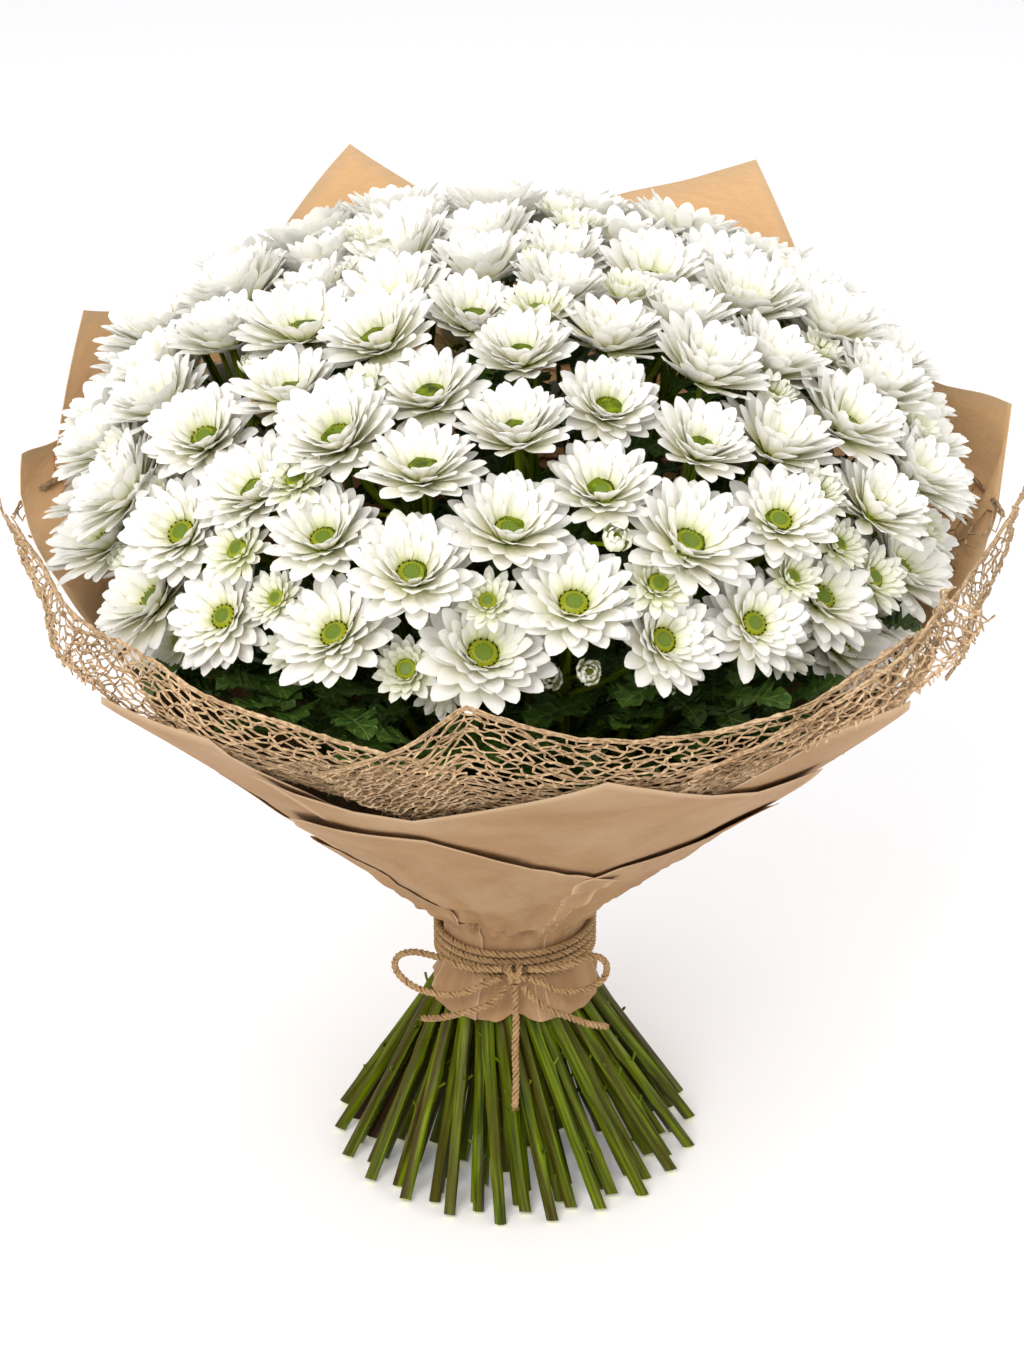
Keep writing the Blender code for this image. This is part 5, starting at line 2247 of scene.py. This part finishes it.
@dataclass
class Twine:
    """The jute twine: its turns round the waist, the knot, the loops and the tails."""

    material: bpy.types.Material
    radius: float = 2.0 * MM
    turns: int = 4
    turn_steps: int = 18
    turn_pitch: float = 4.6 * MM
    low_z: float = 115 * MM
    waist: float = (35.9 + 2 * 1.1 + 0.6 + 0.3) * MM
    knot_size: Vector = field(default_factory=lambda: Vector((13, 9, 12)) * MM)
    knot_z: float = 124 * MM
    knot_sides: int = 24
    front_gap: float = 0.35 * MM
    lay: float = 9.0 * MM
    plies: int = 3
    sides: int = 10
    step: float = 1.25 * MM
    fuzz: float = 0.7

    def turns_radius(self) -> float:
        """The middle line of the wound twine."""
        return (self.waist + self.radius) / math.cos(math.pi / self.turn_steps)

    def centre(self) -> Vector:
        """The middle of the knot, in front of the wound twine."""
        front = self.turns_radius() + self.radius + self.front_gap + self.knot_size.y / 2
        return Vector((0, -front, self.knot_z))

    def rope(self, draft: Draft, line: Sequence[Vector], radius: float | None = None) -> None:
        """Add a length of twisted twine along a line.

        Args:
            draft: Where it is added.
            line: Its middle line, finely divided.
            radius: Its radius where that isn't the twine's own.
        """
        radius = radius or self.radius
        draw = random.Random(round(path_length(line) / MM))
        points: list[Vector] = []
        groove: list[float] = []
        for point, walked, (ahead, side, other) in zip(line, distances(line), frames_along(line)):
            twist = math.tau * walked / self.lay
            for k in range(self.sides):
                angle = math.tau * k / self.sides
                ply = abs(math.cos(self.plies * angle / 2))
                points.append(point + around(side, other, angle + twist) * radius * (0.64 + 0.38 * ply))
                # Painted shade: strongest in the grooves between the plies.
                groove.append((1 - ply) ** 2)
            if draw.random() < self.fuzz:
                out = around(side, other, draw.uniform(0, math.tau))
                root = point + out * radius * 0.8
                lean = (out * draw.uniform(0.3, 1) + ahead * draw.uniform(-1, 1)) * draw.uniform(0.8, 1.5)
                self._hair(draft, root, root + lean * MM, (ahead, out.cross(ahead)), 0.09 * MM)
        draft.add(points, tube_faces(len(line), self.sides), groove=groove)

    @staticmethod
    def _hair(draft: Draft, root: Vector, tip: Vector, axes: tuple[Vector, Vector], width: float) -> None:
        """Add one loose fibre: a thin three-sided spike from its root to its tip."""
        base = [root + around(*axes, angle) * width for angle in (0, 2.09, 4.19)]
        draft.add([*base, tip], [(2, 1, 0), (0, 1, 3), (1, 2, 3), (2, 0, 3)])

    def make_turns(self) -> bpy.types.Object:
        """Wind the twine round the waist.

        Returns:
            The piece.
        """
        line = []
        count = round(self.turns * math.tau * self.turns_radius() / self.step)
        for i in range(count + 1):
            share = i / count
            azimuth = math.pi / 2 + math.tau * self.turns * share
            wobble = 0.25 * MM * math.sin(5 * azimuth * 0.37)
            height = self.low_z + self.turn_pitch * self.turns * share + wobble
            sunk = 0.25 * MM + 2.2 * MM * (1 - smoothstep(0, 0.02, min(share, 1 - share)))
            line.append(polar(self.turns_radius() - sunk, azimuth, height))
        draft = Draft(("groove",))
        self.rope(draft, line)
        return draft.piece("twine_turns_rope", self.material)

    def make_knot(self) -> bpy.types.Object:
        """Tie the knot: three wraps of twine over the crossing.

        Returns:
            The piece.
        """
        centre, half = self.centre(), self.knot_size / 2
        draft = Draft(("groove",))
        for x, tilt in ((-2.6, -0.25), (1.6, 0.2)):
            ring = []
            for i in range(self.knot_sides + 1):
                angle = math.tau * i / self.knot_sides
                ring.append(centre + Vector((x * MM + tilt * math.sin(angle) * 3 * MM,
                    (half.y - self.radius * 0.9) * math.cos(angle),
                    (half.z - self.radius * 0.9) * math.sin(angle))))
            self.rope(draft, smooth_path(ring, self.step), self.radius * 0.95)
        over = ((-5.2, 1.0, 2.6), (-3.5, -2.6, 2.2), (0, -3.4, 0.4), (3.5, -2.6, -1.8), (5.2, 1.0, -2.6))
        band = [centre + Vector(point) * MM for point in over]
        self.rope(draft, smooth_path(band, self.step), self.radius * 0.95)
        return draft.piece("twine_knot_wraps", self.material)

    def bow_routes(self) -> dict[str, list[tuple[float, float, float]]]:
        """Lay out the loops and tails.

        Returns:
            The route of each from the knot outwards, in millimetres from the middle of the knot.
        """
        side = self.knot_size.x / 2 / MM + 0.4
        slant_side = side + 0.6
        under = -(self.knot_size.z / 2 / MM + 0.5)
        slant_under = under - 1.2
        return {"bow_loop_left": [(-side, 0, 2.8), (-14, -0.5, 2.8), (-26, 0, 4), (-40, 3, 8),
            (-52, 6, 9.5), (-60, 9, 6), (-63, 11, -1), (-60, 11, -8), (-52, 8, -13), (-40, 3, -14),
            (-27, -2, -10.5), (-14, -1.5, -4.5), (-slant_side, 0, -2.8)],
            "bow_loop_right": [(side, 0, 2.8), (14, -0.5, 2.8), (26, 0, 4.5), (36, 3, 7.5), (43, 7, 6),
            (47.5, 10, 0), (47, 11, -8), (41, 9, -13), (32, 3, -12.5), (22, -2, -9), (13, -1.5, -4.5),
            (slant_side, 0, -2.8)], "bow_tail_left": [(-4.6, -0.5, slant_under), (-8, -3.5, -11.5),
            (-15, -6.5, -15.5), (-27, -6, -20), (-39, -1, -26), (-48, 5, -30)],
            "bow_tail_centre": [(0, 0, under), (0, -1.5, -15), (0.5, -5, -28), (0, -10, -41),
            (0.5, -16.5, -54), (0, -23, -67)], "bow_tail_right": [(4.6, -0.5, slant_under),
            (8, -3.5, -11.5), (16, -6.5, -17), (28, -5.5, -23), (39, -1, -30), (48, 5, -35)]}

    def make_cord(self, name: str, route: Sequence[tuple[float, float, float]]) -> bpy.types.Object:
        """One free length of twine, put in its node's place.

        Args:
            name: Its CAD node's name.
            route: Its points, in millimetres from the middle of the knot.

        Returns:
            The piece.
        """
        centre = self.centre()
        line = smooth_path([centre + Vector(point) * MM for point in route], self.step)
        draft = Draft(("groove",))
        self.rope(draft, line)
        if "tail" in name:
            self._fray(draft, line)
        piece = draft.piece(f"{name}_rope", self.material)
        register(piece, Slot.TWINE, name)
        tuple(line[0])
        round(path_length(line), 3)
        "bare" if "tail" in name else "object"
        "hanging" if "tail" in name else "loose"
        return piece

    def _fray(self, draft: Draft, line: Sequence[Vector], hairs: int = 14) -> None:
        """Add loose fibres past the cut end of a tail.

        Args:
            draft: Where they are added.
            line: The middle line of the tail.
            hairs: How many there are.
        """
        draw = random.Random(len(line))
        ahead = (line[-1] - line[-3]).normalized()
        side = ahead.orthogonal().normalized()
        other = ahead.cross(side)
        for _ in range(hairs):
            out = around(side, other, draw.uniform(0, math.tau))
            root = line[-1] + out * self.radius * draw.uniform(0.1, 0.75) - ahead * 1.0 * MM
            reach = draw.uniform(2.0, 4.6) * MM
            tip = root + (ahead + out * draw.uniform(0.05, 0.5)) * reach
            self._hair(draft, root, tip, (side, other), 0.16 * MM)


# --------------------------------------------------------------------------- studio


@dataclass
class Studio:
    """The pale floor, the soft lights and the camera."""

    elevation: float = math.radians(25.7)
    distance: float = 1.9
    target: Vector = field(default_factory=lambda: Vector((-0.0016, 0, 0.2685)))
    lens: float = 97.4
    sensor: float = 36.0
    floor_size: float = 14.0
    world_light: float = 0.78
    middle: Vector = field(default_factory=lambda: Vector((0, 0, 0.3)))

    def camera(self) -> None:
        """Set up the camera in front of the bunch, looking down a little."""
        back = Vector((0, -math.cos(self.elevation), math.sin(self.elevation)))
        camera = add_object("camera", bpy.data.cameras.new("camera"))
        camera.data.sensor_width = self.sensor
        camera.data.lens = self.lens
        camera.location = self.target + back * self.distance
        camera.rotation_euler = (-back).to_track_quat("-Z", "Y").to_euler()
        bpy.context.scene.camera = camera

    def floor(self) -> None:
        """Lay the floor."""
        half = self.floor_size / 2
        draft = Draft()
        draft.add([(-half, -half, 0), (half, -half, 0), (half, half, 0), (-half, half, 0)], [(0, 1, 2, 3)])
        draft.piece("floor", FloorFinish().build())

    def light(self, name: str, place: Point, size: float, power: float, colour: Colour) -> None:
        """Hang one soft light that looks at the middle of the bunch.

        Args:
            name: The light's name.
            place: Where it hangs.
            size: The side of its square.
            power: Its power in watts.
            colour: Its colour.
        """
        lamp = add_object(name, bpy.data.lights.new(name, "AREA"))
        lamp.data.size = size
        lamp.data.energy = power
        lamp.data.color = colour
        lamp.location = place
        lamp.rotation_euler = (self.middle - Vector(place)).to_track_quat("-Z", "Y").to_euler()

    def lights(self) -> None:
        """Set the studio's even light."""
        world = bpy.data.worlds.new("studio")
        world.use_nodes = True
        background = world.node_tree.nodes["Background"].inputs
        background["Color"].default_value = (1, 1, 1, 1)
        background["Strength"].default_value = self.world_light
        bpy.context.scene.world = world
        self.light("key", (-0.8, -2.1, 2.1), 1.5, 56, (1.0, 0.99, 0.97))
        self.light("fill", (1.8, -1.2, 1.3), 1.8, 8, (1.0, 1.0, 1.0))
        self.light("top", (0.2, 0.9, 2.3), 1.6, 12, (1.0, 1.0, 1.0))
        bpy.context.scene.view_settings.view_transform = "Standard"


def write_sizes() -> None:
    """Bring the view layer up to date."""
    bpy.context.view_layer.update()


def make_bow() -> None:
    """Make the twine: the loops and tails, then the turns and the knot."""
    jute = FibreFinish("jute_twine", (0.70, 0.455, 0.225), (0.14, 0.072, 0.027), 1500.0).build()
    twine = Twine(jute)
    for name, route in twine.bow_routes().items():
        twine.make_cord(name, route)
    register(twine.make_turns(), Slot.TWINE, "twine_turns")
    register(twine.make_knot(), Slot.TWINE, "twine_knot")


def make_plants() -> None:
    """Make the flowers: each spray's stem and heads, then the inner stems and the leaves."""
    petals, green, leaf_green = BloomFinish().build(), GreenFinish().build(), LeafFinish().build()
    dome, marks_tree = Dome(), Marks()
    layout = Layout(dome)
    blooms = BloomMaker(dome, petals, marks_tree)
    stems = StemMaker(dome, green)
    lines = []
    for spray in layout.sprays:
        stem, line = stems.make(spray)
        lines.append(line)
        register(stem, Slot.FLOWERS, spray.name)
        register(blooms.make(spray), Slot.FLOWERS, spray.name)
    inner, inner_lines = InnerStems(stems).make()
    for piece in [*inner, *Foliage(marks_tree, leaf_green, dome).make([*lines, *inner_lines])]:
        register(piece, Slot.FLOWERS)


def make_wrap() -> None:
    """Make the paper sheets and their turned-out edges, then the net."""
    kraft = KraftWrap(KraftFinish().build())
    sheets = [(name, name, plan) for name, plan in SHEETS.items()]
    for name, node, plan in [*sheets, *((name, node, plan) for name, (node, plan) in FLAPS.items())]:
        sheet = kraft.make(name, plan)
        register(sheet, Slot.PAPER, node)
    fibre = FibreFinish("net_fibre", (0.78, 0.56, 0.34), (0.17, 0.085, 0.03), 420.0).build()
    collar = NetCollar(kraft, fibre, Strands())
    for name, parts in NET_PARTS.items():
        net = collar.make(name, parts)
        register(net, Slot.NET, "net_collar")
        collar.declare(net, parts)


def main() -> None:
    """Build the bunch, piece by piece."""
    logging.basicConfig(level=logging.INFO, format="%(name)s %(message)s")
    studio = Studio()
    studio.camera()
    make_bow()
    make_plants()
    make_wrap()
    studio.floor()
    studio.lights()
    write_sizes()


if __name__ == "__main__":
    main()
